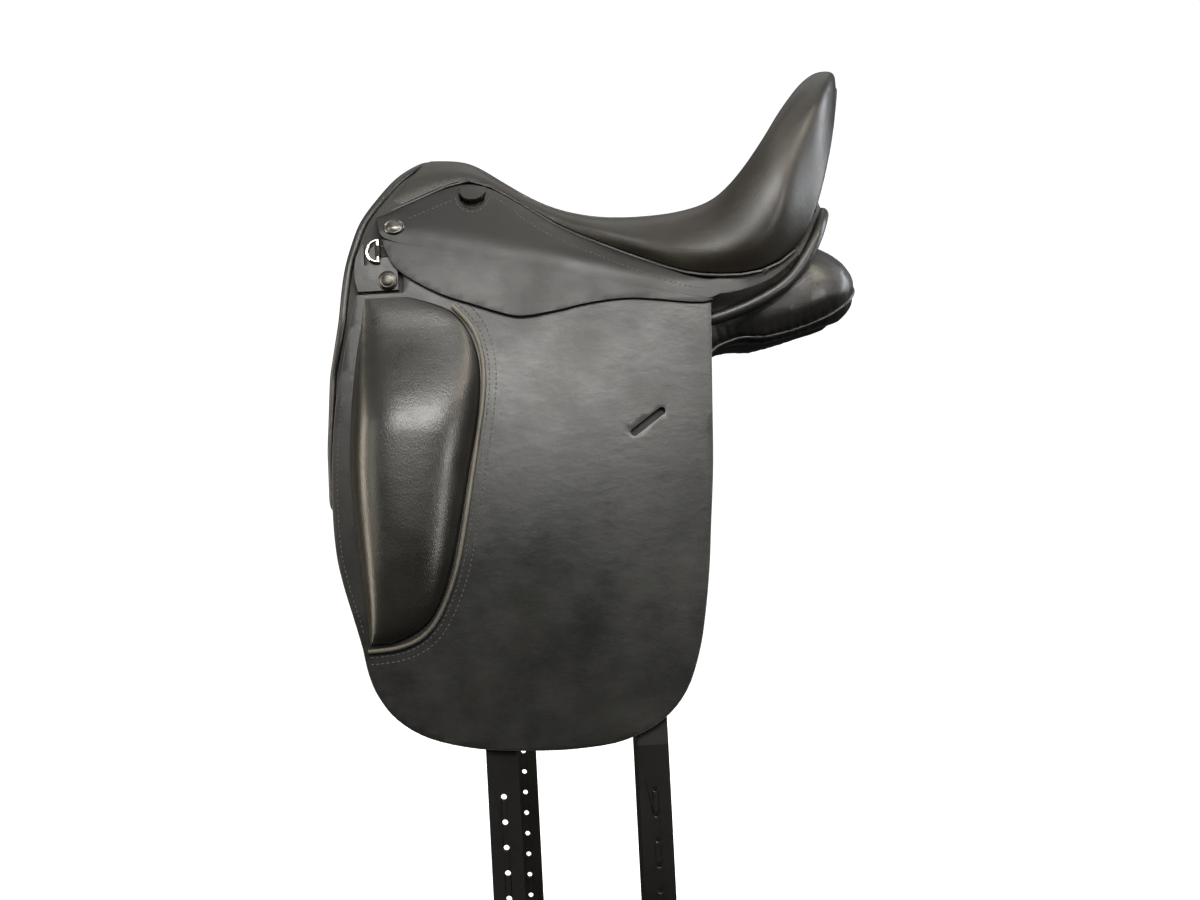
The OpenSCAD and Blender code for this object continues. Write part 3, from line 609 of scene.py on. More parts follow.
def thickened(mesh, thickness, offset=-1.0, even=True):
    """A closed sheet from an open one, its cut edge in the second material."""
    settings = {"thickness": thickness, "offset": offset, "use_even_offset": even,
                "material_offset_rim": 1, "use_quality_normals": even}
    return with_modifiers(mesh, ("SOLIDIFY", settings))


def bevelled(mesh, width, segments=2, keep=lambda middle: True):
    """The mesh with its sharp edges rounded where keep(middle of the edge) says so."""
    bm = bmesh_of(mesh)
    limit = math.radians(50)
    edges = [e for e in bm.edges if e.is_manifold and e.calc_face_angle(0) > limit
             and keep((e.verts[0].co + e.verts[1].co) / 2)]
    bmesh.ops.bevel(bm, geom=edges, offset=width, offset_type="OFFSET", segments=segments, profile=0.5,
                    affect="EDGES", clamp_overlap=True, material=1)
    return bm_mesh(mesh.name, bm)


def moved(mesh, change):
    """Moves the mesh's points: change takes and gives an array of points."""
    mesh.vertices.foreach_set("co", change(points_of(mesh)).ravel())
    mesh.update()
    return mesh


def shaded(mesh, sharp=40):
    mesh.shade_smooth()
    mesh.set_sharp_from_angle(angle=math.radians(sharp))
    return mesh


def mirror_image(mesh, name):
    copy = mesh.copy()
    copy.name = name
    copy.transform(Matrix.Scale(-1, 4, (0, 1, 0)))
    copy.flip_normals()
    return copy


def piece(name, mesh, body, materials, stands_for=()):
    """A finished piece of the saddle on its body."""
    if not mesh.materials:
        for material in materials:
            mesh.materials.append(looks[material])
    made = placed(name, mesh)
    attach(made, body)
    if stands_for:
        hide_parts(*stands_for)
    return made


def pair(name, mesh, body, materials, stands_for=()):
    """The near side's piece, and its mirror image on the off side."""
    for side in ("left", "right"):
        own = mesh if side == "left" else mirror_image(mesh, name + "_off")
        on = body if body == "saddle" else f"{body}_{side}"
        piece(f"{name}_{side}", own, on, materials, [f"{n}_{side}" for n in stands_for])


def tube_path(name, end=0):
    """The middle line of a CAD tube, found from the rings of points that follow its end cap's centre."""
    bm = welded(name)
    bm.verts.ensure_lookup_table()

    def is_cap(v):
        ring = [e.other_vert(v).co for e in v.link_edges]
        return (sum(ring, Vector()) / len(ring) - v.co).length < 0.002 * MM

    caps = sorted((v for v in bm.verts if is_cap(v)), key=lambda v: (round(v.co.x, 4), v.co.y))
    layer, seen, path = [caps[end]], {caps[end]}, []
    while layer:
        path.append(sum((v.co for v in layer), Vector()) / len(layer))
        following = {e.other_vert(v) for v in layer for e in v.link_edges} - seen
        seen |= following
        layer = sorted(following, key=lambda v: v.index)
    bm.free()
    points = np.array([list(p) for p in path])
    gap = np.r_[1, np.linalg.norm(np.diff(points, axis=0), axis=1)]
    return points[gap > 0.3 * MM]


def along(points, step):
    """Points at even steps along a polyline."""
    points = np.asarray(points, float)
    length = np.r_[0, np.cumsum(np.linalg.norm(np.diff(points, axis=0), axis=1))]
    at = np.linspace(0, length[-1], max(2, round(length[-1] / step) + 1))
    return np.stack([np.interp(at, length, points[:, k]) for k in range(3)], 1)


def rounded(points, step, passes=6):
    """The polyline at even steps, with its corners eased."""
    line = along(points, step)
    for _ in range(passes):
        line[1:-1] = (line[:-2] + 2 * line[1:-1] + line[2:]) / 4
    return line


END_DOME = 0.4


def tube(points, radius, sides=10):
    """A round tube along points, with domed ends. radius may be one value or one for each."""
    points = np.asarray(points, float)
    count = len(points)
    radii = np.broadcast_to(np.asarray(radius, float), (count,))
    ahead = np.gradient(points, axis=0)
    ahead /= np.linalg.norm(ahead, axis=1)[:, None]
    side = np.cross(ahead[0], (0.11, 0.13, 1.0))
    rings = []
    for i in range(count):
        side = side - ahead[i] * side.dot(ahead[i])
        side /= np.linalg.norm(side)
        up = np.cross(ahead[i], side)
        angle = np.linspace(0, 2 * math.pi, sides, endpoint=False)[:, None]
        rings.append(points[i] + radii[i] * (np.cos(angle) * side + np.sin(angle) * up))
    tips = [points[0] - ahead[0] * radii[0] * END_DOME, points[-1] + ahead[-1] * radii[-1] * END_DOME]
    verts = np.concatenate([*rings, tips])
    last = (count - 1) * sides
    faces = [(low + j, low + (j + 1) % sides, low + sides + (j + 1) % sides, low + sides + j)
             for low in range(0, last, sides) for j in range(sides)]
    faces += [(count * sides, (j + 1) % sides, j) for j in range(sides)]
    faces += [(count * sides + 1, last + j, last + (j + 1) % sides) for j in range(sides)]
    return shaded(built("tube", verts, faces), 60)


def tree_of(*meshes):
    """A search tree over meshes."""
    verts, faces = [], []
    for mesh in meshes:
        base = len(verts)
        verts += [v.co.copy() for v in mesh.vertices]
        faces += [[base + i for i in p.vertices] for p in mesh.polygons]
    return BVHTree.FromPolygons(verts, faces)


STITCH_STEP = 4.6 * MM
STITCH_LENGTH = 3.5 * MM
THREAD_RADIUS = 0.55 * MM
THREAD_SINK = 0.05 * MM
# A stitch's places along its length, and the thread's share of its full radius there
STITCH_SHAPE = ((-0.5, 0.35), (-0.36, 0.85), (0, 1.0), (0.36, 0.85), (0.5, 0.35))


def stitch_row(paths, surface):
    """Rows of stitches, each a short rounded thread that lies on the surface along a path."""
    ring = 6
    verts, faces = [], []
    for path in paths:
        line = along(path, STITCH_STEP)
        for a, b in zip(line[:-1], line[1:]):
            middle, normal, _, _ = surface.find_nearest(Vector((a + b) / 2))
            ahead = Vector(b - a)
            ahead = (ahead - normal * ahead.dot(normal)).normalized()
            side = normal.cross(ahead)
            base = len(verts)
            for place, size in STITCH_SHAPE:
                dip = THREAD_SINK + 1.6 * THREAD_RADIUS * (2 * place) ** 4
                centre = middle + ahead * place * STITCH_LENGTH - normal * dip
                for k in range(ring):
                    q = 2 * math.pi * k / ring
                    verts.append(centre + size * THREAD_RADIUS * (side * math.cos(q) + normal * math.sin(q)))
            count = len(STITCH_SHAPE)
            for i in range(count - 1):
                low, high = base + i * ring, base + (i + 1) * ring
                for k in range(ring):
                    j = (k + 1) % ring
                    faces.append((low + k, high + k, high + j, low + j))
            faces.append([base + k for k in range(ring)])
            faces.append([base + (count - 1) * ring + ring - 1 - k for k in range(ring)])
    return shaded(built("stitches", np.array(verts), faces), 70)


def step_up(x, low, high):
    """0 below low and 1 above high, eased between."""
    t = np.clip((np.asarray(x, float) - low) / (high - low), 0, 1)
    return t * t * (3 - 2 * t)


# ---- the near flap's own frame: s to the rear, t up the flap, n out from its outer face ----

def flap_axes():
    faces = nodes["flap_left"].data.polygons
    largest = max(faces, key=lambda p: p.area * (p.normal.y < 0))
    out = np.array(largest.normal)
    up = np.cross(out, (1, 0, 0))
    origin = np.array((0, np.dot(largest.center, out) / out[1], 0))
    return np.array((1.0, 0, 0)), up, out, origin


AXIS_S, AXIS_T, AXIS_N, FLAP_ORIGIN = flap_axes()
FLAP_BASIS = np.stack([AXIS_S, AXIS_T, AXIS_N])


def to_flap(points):
    return (points - FLAP_ORIGIN) @ FLAP_BASIS.T


def from_flap(points):
    return points @ FLAP_BASIS + FLAP_ORIGIN


fold = next(j for j in frame["joints"] if j["name"] == "skirt_lift_left")
FOLD_AT = to_flap(np.array(fold["pos_m"]))
FOLD_ALONG = FLAP_BASIS @ -np.array(fold["axis"])
FOLD_UP = np.array((-FOLD_ALONG[1], FOLD_ALONG[0]))


def above_fold(flat):
    """How far points in the flap's frame are above the line that the skirt folds on."""
    return (flat[:, :2] - FOLD_AT[:2]) @ FOLD_UP


FLAP_FLAT = to_flap(np.array([v.co for v in nodes["flap_left"].data.vertices]))
FLAP_LOW, FLAP_HIGH = FLAP_FLAT.min(0), FLAP_FLAT.max(0)
CROWN = 8 * MM
CROWN_TOP = -0.02


def crown(flat):
    """How far the flap's leather stands out of its flat plate."""
    down = np.clip((CROWN_TOP - flat[:, 1]) / (CROWN_TOP - FLAP_LOW[1]), 0, 1)
    back = np.clip((flat[:, 0] - FLAP_LOW[0]) / (FLAP_HIGH[0] - FLAP_LOW[0]), 0, 1)
    return CROWN * np.sin(math.pi * down) ** 1.4 * np.sin(math.pi * back) ** 0.8


def crowned(points):
    flat = to_flap(points)
    flat[:, 2] += crown(flat)
    return from_flap(flat)


def sliced(bm, step):
    """Cuts flat faces into a fine grid in the flap's frame, so that they can be bent."""
    for normal in (AXIS_S, AXIS_T):
        reach = [v.co.dot(Vector(normal)) for v in bm.verts]
        low, high = min(reach), max(reach)
        for d in np.arange(low + step / 2, high, step):
            bmesh.ops.bisect_plane(bm, geom=bm.verts[:] + bm.edges[:] + bm.faces[:], dist=1e-6,
                                   plane_co=Vector(normal) * d, plane_no=Vector(normal))


def plate(name, bm, width, step, keep=lambda middle: True):
    """A flat plate of leather with rounded edges, cut fine enough to bend."""
    bmesh.ops.dissolve_limit(bm, angle_limit=math.radians(0.2), verts=bm.verts, edges=bm.edges)
    bm = bmesh_of(bevelled(bm_mesh(name, bm), width, 3, keep))
    sliced(bm, step)
    return bm_mesh(name, bm)


# ---- flap and knee block ----

FLAP_EDGE = 1.1 * MM
FLAP_GRID = 8 * MM


def make_flap():
    mesh = shaded(moved(plate("flap_plate", welded("flap_left"), FLAP_EDGE, FLAP_GRID), crowned), 35)
    pair("flap_leather", mesh, "flap", ["flap", "edge"], ["flap"])
    return tree_of(mesh)


KNEE_TOP_FADE = (-125 * MM, 12 * MM)
KNEE_TOP_HEIGHT = 0.2
KNEE_PRESSURE = 4.0
KNEE_SWELL = 3.5 * MM
KNEE_LEATHER = 1.3 * MM
KNEE_PIPING = 2.1 * MM
KNEE_STITCHES = (5 * MM, 11 * MM)
EDGE_STITCHES = 5 * MM


def knee_settled(points):
    """Lets the block die away at its top, and keeps it out of the flap."""
    flat = to_flap(points)
    flat[:, 2] *= 1 - (1 - KNEE_TOP_HEIGHT) * step_up(flat[:, 1], *KNEE_TOP_FADE)
    flat[:, 2] = np.maximum(flat[:, 2], 0.15 * MM)
    flat[:, 2] += crown(flat)
    return from_flap(flat)


def make_knee_block():
    """The block's cover as one crowned pad, and its piping."""
    bm = outer_faces("knee_cover_left", AXIS_N, 0.02)
    quads(bm)
    mesh = subdivided(largest_shell(bm_mesh("knee", bm)), 2)
    mesh = puffed(mesh, KNEE_PRESSURE, KNEE_SWELL, tree_of(nodes["skirt_left"].data))
    mesh = moved(subdivided(mesh, 1), knee_settled)
    mesh = shaded(thickened(mesh, KNEE_LEATHER, even=False), 60)
    pair("knee_block", mesh, "flap", ["knee", "edge"], ["knee_cover", "knee_foam"])
    path = rounded(crowned(tube_path("knee_piping_left", 1)), 2.5 * MM, 3)
    pair("knee_piping", tube(path, KNEE_PIPING), "flap", ["piping"], ["knee_piping"])


def make_flap_stitches(flap_surface):
    """Two rows round the knee block, and one down the flap's front edge."""
    flat = to_flap(tube_path("knee_piping_left", 1))
    ahead = np.gradient(flat[:, :2], axis=0)
    ahead /= np.linalg.norm(ahead, axis=1)[:, None]
    outward = np.stack([-ahead[:, 1], ahead[:, 0]], 1)
    rows = []
    for gap in KNEE_STITCHES:
        row = flat.copy()
        row[:, :2] += outward * gap
        row[:, 2] = 0
        rows.append(crowned(from_flap(row)))
    edge = flap_front_edge(np.linspace(-75 * MM, -292 * MM, 60))
    edge[:, 0] += EDGE_STITCHES
    rows.append(crowned(from_flap(edge)))
    pair("flap_stitches", stitch_row(rows, flap_surface), "flap", ["thread"])


BACKING_THICKNESS = 1.2 * MM
# name: (range of s, range of t, n, body, look, slot), all but the last three in mm in the flap's frame
BACKINGS = {
    # a dark sheet of strap leather behind the flap's slot, where there is only shade: painted shade
    "slot_shade_backing": ((-34, 22), (-150, -84), -5.4, "flap", "strap", "flap_leather"),
    "pocket_lining": ((-254, -222), (39, 60), -1.4, "saddle", "flap", "flap_leather"),
    "point_lining": ((-258, -206), (8, 60), -5.4, "saddle", "lining", "lining_leather"),
}


def make_backings():
    """Plain pieces of leather behind the point pocket, and a dark sheet behind the flap's slot that stands
    for the shade seen through it: painted shade.
    """
    for name, (s_range, t_range, n, body, look, slot) in BACKINGS.items():
        rows = [(s, t, n) for s in np.linspace(*s_range, 9) for t in np.linspace(*t_range, 9)]
        points = from_flap(np.array(rows) * MM)
        if body == "flap":
            points = crowned(points)
        mesh = thickened(grid_mesh(name, points.reshape(9, 9, 3)), BACKING_THICKNESS, 0.0)
        pair(name, shaded(bevelled(mesh, 0.3 * MM), 40), body, [look, look])


def flap_front_edge(heights):
    """Where the flap's front edge is at these heights, in the flap's frame."""
    surface = tree_of(nodes["flap_left"].data)
    found = []
    for t in heights:
        start = from_flap(np.array((-0.4, t, -2 * MM))[None])[0]
        hit = surface.ray_cast(Vector(start), Vector(AXIS_S))
        if hit[0] is not None:
            found.append((hit[0].x, t, 0))
    return np.array(found)


# ---- skirts ----

SKIRT_UNDER = 0.7 * MM
SKIRT_FLARE = 3.2 * MM
SKIRT_DROP = 70 * MM


def make_skirt():
    """The free part of the skirt: it reaches a little above the fold, under the upper part."""
    bm = welded("skirt_left")
    centre = from_flap(FOLD_AT[None])[0]
    up = FOLD_UP[0] * AXIS_S + FOLD_UP[1] * AXIS_T
    bmesh.ops.bisect_plane(bm, geom=bm.verts[:] + bm.edges[:] + bm.faces[:], dist=1e-6,
                           plane_co=Vector(centre + up * SKIRT_UNDER), plane_no=Vector(up), clear_outer=True)
    bmesh.ops.holes_fill(bm, edges=[e for e in bm.edges if e.is_boundary])

    def off_fold(middle):
        return above_fold(to_flap(np.array(middle)[None]))[0] < -1 * MM

    def flared(points):
        flat = to_flap(points)
        drop = np.clip(-above_fold(flat), 0, None)
        flat[:, 2] += SKIRT_FLARE * (drop / SKIRT_DROP) ** 2
        flat[:, 2] -= 0.08 * MM * (above_fold(flat) > 0.1 * MM)
        return from_flap(flat)

    mesh = shaded(moved(plate("skirt_plate", bm, 0.8 * MM, 7 * MM, off_fold), flared), 35)
    pair("skirt_flap", mesh, "skirt", ["skirt", "edge"], ["skirt"])


# The fold ends here, towards the rear
FOLD_REAR_END = (-0.066, -0.056)
KEYHOLE_X = -156 * MM
KEYHOLE_Z = 104.5 * MM
KEYHOLE_HALF = 11.5 * MM
TONGUE_RISE = 14 * MM
FOLD_EASE = 34 * MM
SKIRT_FACE_N = 3.4 * MM


def make_skirt_top():
    """The fixed upper part of the skirt, which meets the free part at the fold."""
    bm = sheet_face("skirt_top_left", (0, -1, 0.4), 60)
    mesh = subdivided(bm_mesh("skirt_top", bm), 3)
    flat = to_flap(points_of(mesh))
    gap = above_fold(flat)[np.abs(flat[:, 0] + 100 * MM) < 60 * MM].min()

    def settled(points):
        """Carries the leather down to the fold, and lays it in line with the skirt below there."""
        flat = to_flap(points)
        up = above_fold(flat)
        on_fold = step_up(-flat[:, 0], *FOLD_REAR_END)
        near = on_fold * (1 - step_up(up, gap, FOLD_EASE))
        flat[:, 0] -= FOLD_UP[0] * gap * near
        flat[:, 1] -= FOLD_UP[1] * gap * near
        share = np.where(up > gap, step_up(up, gap, FOLD_EASE), 0)
        laid = SKIRT_FACE_N + (flat[:, 2] - SKIRT_FACE_N) * share
        flat[:, 2] = flat[:, 2] * (1 - on_fold) + on_fold * laid
        return from_flap(flat)

    moved(mesh, settled)
    surface = tree_of(mesh)
    mesh = thickened(mesh, 3 * MM)

    def off_fold(middle):
        flat = to_flap(np.array(middle)[None])
        return above_fold(flat)[0] > 1.5 * MM or flat[0, 0] > 0.06

    mesh = bevelled(mesh, 0.7 * MM, 2, off_fold)
    cutter = crescent_cutter()
    mesh = with_modifiers(mesh, ("BOOLEAN", {"object": cutter, "operation": "DIFFERENCE", "solver": "EXACT"}))
    bpy.data.objects.remove(cutter)
    shaded(mesh, 40)
    pair("skirt_upper", mesh, "saddle", ["skirt", "edge"], ["skirt_top"])
    make_keyhole(surface)
    make_skirt_stitches(surface)
    return surface


def crescent(count=24):
    """The hole under the keyhole's tongue, as (x, z) points: a lower arc, then an upper one."""
    x = KEYHOLE_HALF * np.cos(np.linspace(math.pi, 2 * math.pi, count))
    low = -14.5 * MM * np.sqrt(1 - (x / KEYHOLE_HALF) ** 2)
    high = 4 * MM - 11.5 * MM * np.sqrt(1 - (x / KEYHOLE_HALF) ** 2)
    lower = np.stack([KEYHOLE_X + x, KEYHOLE_Z + low], 1)
    upper = np.stack([KEYHOLE_X + x, KEYHOLE_Z + high], 1)
    return lower, upper


def crescent_cutter():
    """What is cut out of the skirt at the keyhole."""
    lower, upper = crescent()
    ring = np.concatenate([lower, upper[::-1]])
    bm = bmesh.new()
    verts = [bm.verts.new((x, -0.12, z)) for x, z in ring]
    grown = bmesh.ops.extrude_face_region(bm, geom=[bm.faces.new(verts)])["geom"]
    bmesh.ops.translate(bm, verts=[v for v in grown if isinstance(v, bmesh.types.BMVert)], vec=(0, 0.1, 0))
    bmesh.ops.recalc_face_normals(bm, faces=bm.faces)
    return placed("cutter", bm_mesh("cutter", bm))


def on_surface(surface, x, z, lift=0.0):
    """The point of the skirt at (x, z), lift above its surface."""
    hit = surface.ray_cast(Vector((x, -0.3, z)), Vector((0, 1, 0)))
    if hit[0] is None:
        hit = surface.find_nearest(Vector((x, -0.08, z)))
    normal = hit[1] if hit[1].y < 0 else -hit[1]
    return np.array(hit[0] + normal * lift)


def make_keyhole(surface):
    """The raised tongue over the stirrup bar's keyhole, and a sheet of dark leather behind the hole that
    stands for the shade inside it: painted shade.
    """
    _, upper = crescent(17)
    rows = []
    for k in range(9):
        away = k / 8
        row = []
        for (x, z), across in zip(upper, np.linspace(-1, 1, len(upper))):
            round_off = math.sqrt(max(0, 1 - ((x - KEYHOLE_X) / KEYHOLE_HALF) ** 2))
            up = TONGUE_RISE * away * (0.25 + 0.75 * round_off)
            rise = 0.25 * MM + 2.1 * MM * round_off ** 0.7 * (1 - away) ** 1.3
            row.append(on_surface(surface, x, z - 0.6 * MM * (1 - away) + up, rise))
        rows.append(row)
    mesh = shaded(bevelled(thickened(grid_mesh("tongue", np.array(rows)), 1.6 * MM, 1.0), 0.3 * MM), 40)
    pair("keyhole_tongue", mesh, "saddle", ["skirt", "edge"])
    # a sheet of lining leather behind the hole, standing for the shade inside it: painted shade
    rows = [[on_surface(surface, KEYHOLE_X + across * MM, KEYHOLE_Z + up * MM, -6.5 * MM)
             for across in range(-16, 17, 4)] for up in range(-22, 5, 4)]
    mesh = thickened(grid_mesh("backing", np.array(rows)), 1 * MM, 0)
    pair("keyhole_backing", shaded(mesh), "saddle", ["lining", "lining"])


WELT_GAP = 12.5 * MM
WELT_RANGE = (-126 * MM, 64 * MM)


def make_skirt_stitches(surface):
    """A row that rises to the keyhole, one round it, and one that follows the seat's welt."""
    seam = tube_path("seat_welt")
    seam = seam[seam[:, 1] < 0]
    ahead = np.gradient(seam[:, [0, 2]], axis=0)
    ahead /= np.linalg.norm(ahead, axis=1)[:, None]
    below = seam[:, [0, 2]] + WELT_GAP * np.stack([ahead[:, 1], -ahead[:, 0]], 1)
    below = below[(below[:, 0] > WELT_RANGE[0]) & (below[:, 0] < WELT_RANGE[1])]
    arc = np.linspace(math.pi * 1.04, math.pi * 1.94, 22)
    round_hole = np.stack([KEYHOLE_X + 15.5 * MM * np.cos(arc), KEYHOLE_Z + 18 * MM * np.sin(arc)], 1)
    flat_rows = [np.array([(-214, 82.3), (-174, 99.5)]) * MM, round_hole,
                 np.concatenate([np.array([(-140, 102.5), (-131, 98.5)]) * MM, below])]
    rows = []
    for flat in flat_rows:
        line = along(np.insert(flat, 1, 0, axis=1), 2 * MM)
        rows.append(np.array([on_surface(surface, p[0], p[2]) for p in line]))
    pair("skirt_stitches", stitch_row(rows, surface), "saddle", ["thread"])


# ---- seat ----

SEAT_END_X = 186.5 * MM
SEAT_END_HALF = 14.5 * MM


def close_seat_top(bm):
    """Joins the two ends of the seat's leather where they meet at the back of the cantle."""
    rim = [v for v in bm.verts if v.is_boundary and v.co.x > SEAT_END_X]

    def ends(side):
        return sorted((v for v in rim if 1 * MM < side * v.co.y < SEAT_END_HALF), key=lambda v: -v.co.z)

    near, off = ends(-1), ends(1)
    top = next(v for v in rim if abs(v.co.y) < 1 * MM)
    bm.faces.new((near[0], near[1], off[1], off[0], top))
    for k in range(1, len(near) - 1):
        bm.faces.new((near[k], near[k + 1], off[k + 1], off[k]))


def leather_on(name, bm, thickness, edge):
    """A smooth skin of leather on the side of a CAD sheet."""
    return shaded(bevelled(thickened(subdivided(bm_mesh(name, bm), 2), thickness), edge), 50)


def make_seat():
    bm = sheet_face("seat_cover", (0, 0, 1), 62)
    close_seat_top(bm)
    mesh = leather_on("seat", bm, 1.8 * MM, 0.5 * MM)
    piece("seat", mesh, "saddle", ["seat", "edge"], ["seat_cover", "seat_foam"])
    mesh = leather_on("cantle", sheet_face("cantle_back", (1, 0, 0), 60), 1.8 * MM, 0.4 * MM)
    piece("cantle_rear", mesh, "saddle", ["seat", "edge"], ["cantle_back"])


def roll_piece(node, path, radius, sides=16):
    """A stuffed leather roll along a line, a little uneven as sewn leather is."""
    path = rounded(path, 3 * MM, 4)
    at = np.arange(len(path)) * 3 * MM
    uneven = 1 + 0.018 * np.sin(at / (11 * MM)) * np.sin(at / (29 * MM) + 1)
    radius = np.atleast_1d(radius)
    radius = np.interp(np.linspace(0, 1, len(path)), np.linspace(0, 1, len(radius)), radius)
    mesh = tube(path, radius * uneven, sides)
    piece(f"{node}_leather", mesh, "saddle", ["roll"], [node])


def down_the_front():
    """The near side's front line of the saddle, from the pommel roll's end down the panel's front edge."""
    end = tube_path("pommel_roll", 0)[0]
    edge = outline(sheet_face("panel_top_left", (0, -1, 1), 30))
    front = edge[(edge[:, 0] < -0.28) & (edge[:, 2] < -0.04)]
    front = front[np.argsort(-front[:, 2])]
    front[:, 0] += 1.5 * MM
    return np.concatenate([end[None], front])


REAR_RADIUS = 6.1 * MM
POMMEL_RADIUS = 3.8 * MM
FRONT_RADII = (2.2, 3.4)
STRIP_THICKNESS = 1.6 * MM
THIN_STRIP = 1.4 * MM
APRON_HALF = 90 * MM
APRON_TOP = np.array((-9, 0, -3)) * MM
APRON_BOTTOM = np.array((-14, 0, -27)) * MM


def make_rolls():
    """The rear roll, and the front roll that carries on down both sides."""
    rear = tube_path("rear_roll")
    roll_piece("rear_roll", rear, REAR_RADIUS, 20)
    pommel = tube_path("pommel_roll", 0)
    front = down_the_front()
    whole = np.concatenate([front[:0:-1], pommel, front[1:] * (1, -1, 1)])
    thin = np.linspace(*FRONT_RADII, len(front) - 1, endpoint=False) * MM
    radii = np.concatenate([thin, np.full(len(pommel), POMMEL_RADIUS), thin[::-1]])
    spread = np.r_[0, np.cumsum(np.linalg.norm(np.diff(whole, axis=0), axis=1))]
    roll_piece("pommel_roll", whole, np.interp(np.linspace(0, spread[-1], 200), spread, radii))
    make_strips(rear, pommel, front)


def make_strips(rear, pommel, front):
    """Leather that closes the gaps behind the rolls."""
    top = along(pommel[pommel[:, 2] > 58 * MM], 4 * MM)
    inward = np.stack([np.full(len(rear), -6 * MM), -np.sign(rear[:, 1]) * 8 * MM * np.abs(rear[:, 1]) / 0.12,
                       np.full(len(rear), 17 * MM)], 1)
    back = rear[np.abs(rear[:, 1]) < APRON_HALF]
    for name, mesh in (
            ("pommel_strip", ribbon(top, top + np.array((22, 0, -8)) * MM, STRIP_THICKNESS)),
            ("cantle_strip", ribbon(rear, rear + inward, STRIP_THICKNESS)),
            ("cantle_apron", ribbon(back + APRON_TOP, back + APRON_BOTTOM, THIN_STRIP))):
        piece(name, mesh, "saddle", ["lining", "lining"])
    near_end = pommel[(pommel[:, 2] < 70 * MM) & (pommel[:, 1] < 0)][::-1]
    side = along(np.concatenate([near_end, front[1:]]), 4 * MM)
    mesh = ribbon(side, side + np.array((34, 5, 0)) * MM, THIN_STRIP)
    pair("front_strip", mesh, "saddle", ["lining", "lining"])


def make_linings():
    """The leather on the pommel's face and inside the gullet."""
    for name, node, facing in (("pommel_front", "pommel_facing", (-1, 0, 0)),
                               ("gullet_leather", "gullet_lining", (0, 0, -1))):
        mesh = leather_on(name, sheet_face(node, facing, 60), 1.9 * MM, 0.4 * MM)
        piece(name, mesh, "saddle", ["lining", "edge"], [node])


# ---- panels ----

PANEL_NEIGHBOURS = ("flap_left", "skirt_left", "skirt_top_left", "point_pocket_left",
                    "billet_front_left", "billet_rear_left", "billet_rivets",
                    "tree_head", "tree_rails", "gullet_lining", "girth_webs")
SIDE_STRIP = 5 * MM
PANEL_GRID = 4 * MM
PANEL_PRESSURE = 4.0
PANEL_SWELL = 4 * MM
PANEL_PIPING = 2.0 * MM


def make_panels():
    """Each panel is one padded form, drawn in along its piped seam.

    A strip closes the side between the CAD's top and base sheets first.
    """
    upper = outline(sheet_face("panel_top_left", (0, -1, 1), 30))
    base = tree_of(nodes["panel_base_left"].data)
    stuffing = tree_of(nodes["flocking_left"].data)
    lower = np.array([base.find_nearest(Vector(p))[0] for p in upper])
    seam = (upper + lower) / 2
    side = []
    for line in (upper, lower):
        inward = np.array([stuffing.find_nearest(Vector(p))[0] for p in line]) - line
        inward /= np.maximum(np.linalg.norm(inward, axis=1), 1e-6)[:, None]
        line = line + inward * SIDE_STRIP / 2
        side.append(np.concatenate([line, line[:1]]))
    bm = welded("panel_top_left", "flocking_left", "panel_base_left")
    bm.from_mesh(ribbon(*side, SIDE_STRIP))
    near = tree_of(*(nodes[name].data for name in PANEL_NEIGHBOURS))
    mesh = puffed(remeshed(bm_mesh("panel", bm), PANEL_GRID), PANEL_PRESSURE, PANEL_SWELL, near)
    mesh = puckered(subdivided(mesh, 1), seam)
    surface = tree_of(mesh)
    pair("panel", shaded(mesh, 70), "saddle", ["panel"],
         ["panel_top", "panel_base", "flocking"])
    line = []
    for p in rounded(seam, 3 * MM, 3):
        at, normal, _, _ = surface.find_nearest(Vector(p))
        line.append(at + normal * 0.8 * MM)
    mesh = tube(rounded(line, 3 * MM, 2), PANEL_PIPING)
    pair("panel_piping", mesh, "saddle", ["roll"])


# ---- buttons and studs ----

# From the rim to the middle: share of the radius, and height in mm
BUTTON = ((0.94, -0.6), (1.0, 0.2), (1.0, 1.3), (0.95, 1.9), (0.88, 2.0), (0.82, 1.7),
          (0.78, 1.45), (0.72, 1.7), (0.58, 2.6), (0.4, 3.3), (0.2, 3.7), (0, 3.8))
STUD = ((0.95, -0.4), (1.0, 0.3), (1.0, 1.1), (0.93, 1.7), (0.8, 2.0), (0.74, 1.75),
        (0.68, 1.75), (0.6, 2.1), (0.4, 2.4), (0.2, 2.5), (0, 2.5))
STUD_RISE = 2.5 * MM


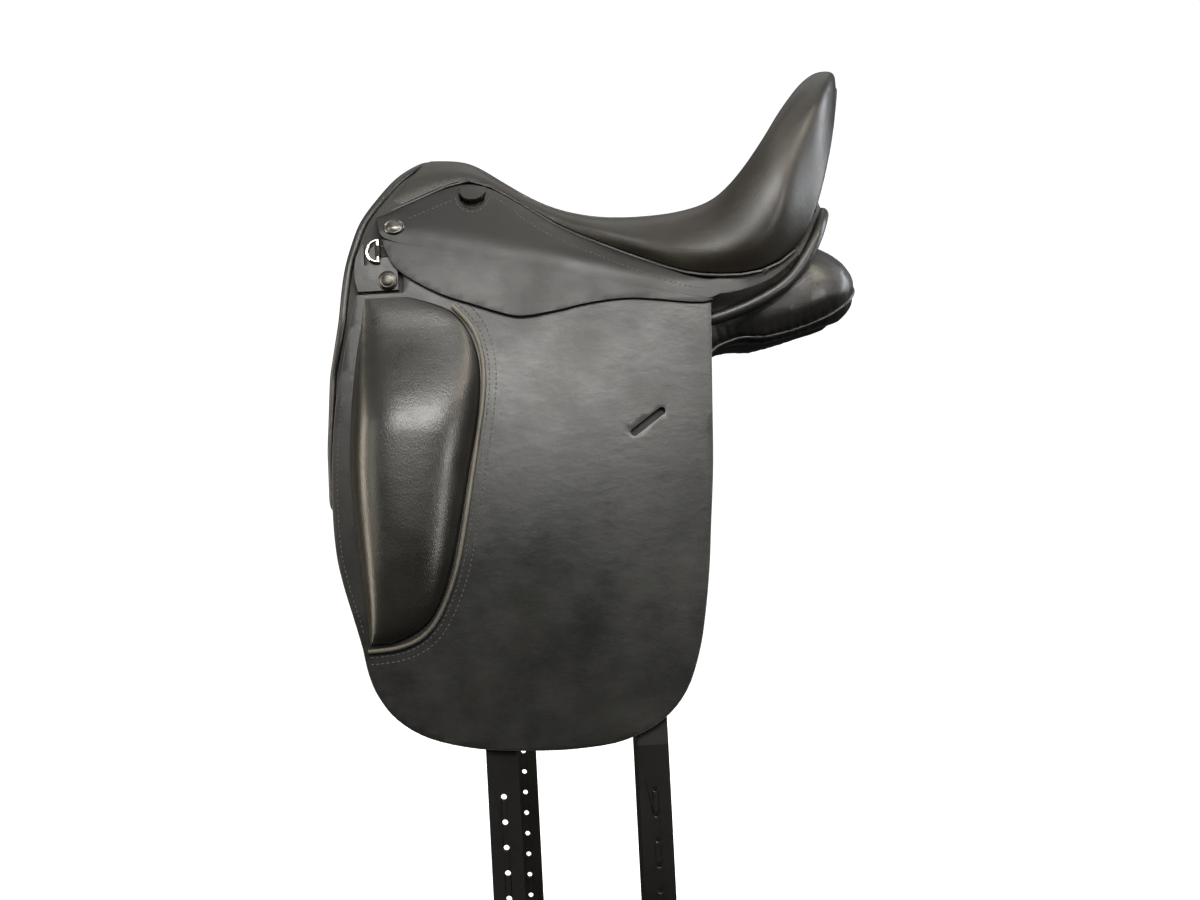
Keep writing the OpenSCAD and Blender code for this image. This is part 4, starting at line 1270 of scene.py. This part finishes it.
def make_buttons(skirt_surface):
    """The nail's button lies on the skirt, and the point pocket's stud on the pocket."""
    for name, node, profile, look, slot in (
            ("nail_button", "nail_heads", BUTTON, "silver", "nail_silver"),
            ("point_stud", "point_studs", STUD, "bronze", "stud_bronze")):
        low, high = (np.array(c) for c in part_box(node))
        middle = (low + high) / 2
        if look == "silver":
            at, normal, _, _ = skirt_surface.find_nearest(Vector((middle[0], low[1], middle[2])))
            normal = normal if normal.y < 0 else -normal
        else:
            normal = Vector(AXIS_N)
            outermost = min(v.co.y for v in nodes[node].data.vertices)
            at = Vector((middle[0], outermost + STUD_RISE, middle[2]))
        radius = (high[0] - low[0]) / 2
        tall = (high[2] - low[2]) / 2 / math.sqrt(1 - normal.z ** 2)
        mesh = lathe(at, normal, radius, tall, [(share, rise * MM) for share, rise in profile])
        piece(f"{name}_left", mesh, "saddle", [look], [node])
        piece(f"{name}_right", mirror_image(mesh, name), "saddle", [look])


# ---- what the CAD already shapes ----

CAD_LOOKS = {
    "wood": ["tree_head", "tree_rails", "cantle_board"],
    "plate": ["head_plate", "gullet_plate", "cantle_plate", "tree_rivets", "billet_rivets"],
    "spring": ["spring_steels"],
    "web": ["seat_webbing", "girth_webs"],
    "bar": ["stirrup_bar_left", "stirrup_bar_right", "bar_catch_left", "bar_catch_right"],
    "chrome": ["dee_ring_left", "dee_ring_right"],
    "flap": ["point_pocket_left", "point_pocket_right"],
    "strap": ["billet_front_left", "billet_rear_left", "billet_front_right", "billet_rear_right",
              "dee_chapes"],
    "roll": ["seat_welt"],
}


def dress_cad_nodes():
    for look, names in CAD_LOOKS.items():
        for name in names:
            node = nodes[name]
            node.data.materials.clear()
            node.data.materials.append(looks[look])
            bevel = node.modifiers.new("edges", "BEVEL")
            bevel.width = 0.4 * MM
            bevel.segments = 2
            bevel.limit_method = "ANGLE"
            bevel.angle_limit = math.radians(40)
            weld = node.modifiers.new("weld", "WELD")
            weld.merge_threshold = 0.01 * MM
            node.modifiers.move(1, 0)


make_camera()
make_floor()
make_light()
looks = make_materials()
flap_surface = make_flap()
make_knee_block()
make_flap_stitches(flap_surface)
make_skirt()
skirt_surface = make_skirt_top()
make_backings()
make_buttons(skirt_surface)
make_seat()
make_rolls()
make_linings()
make_panels()
dress_cad_nodes()
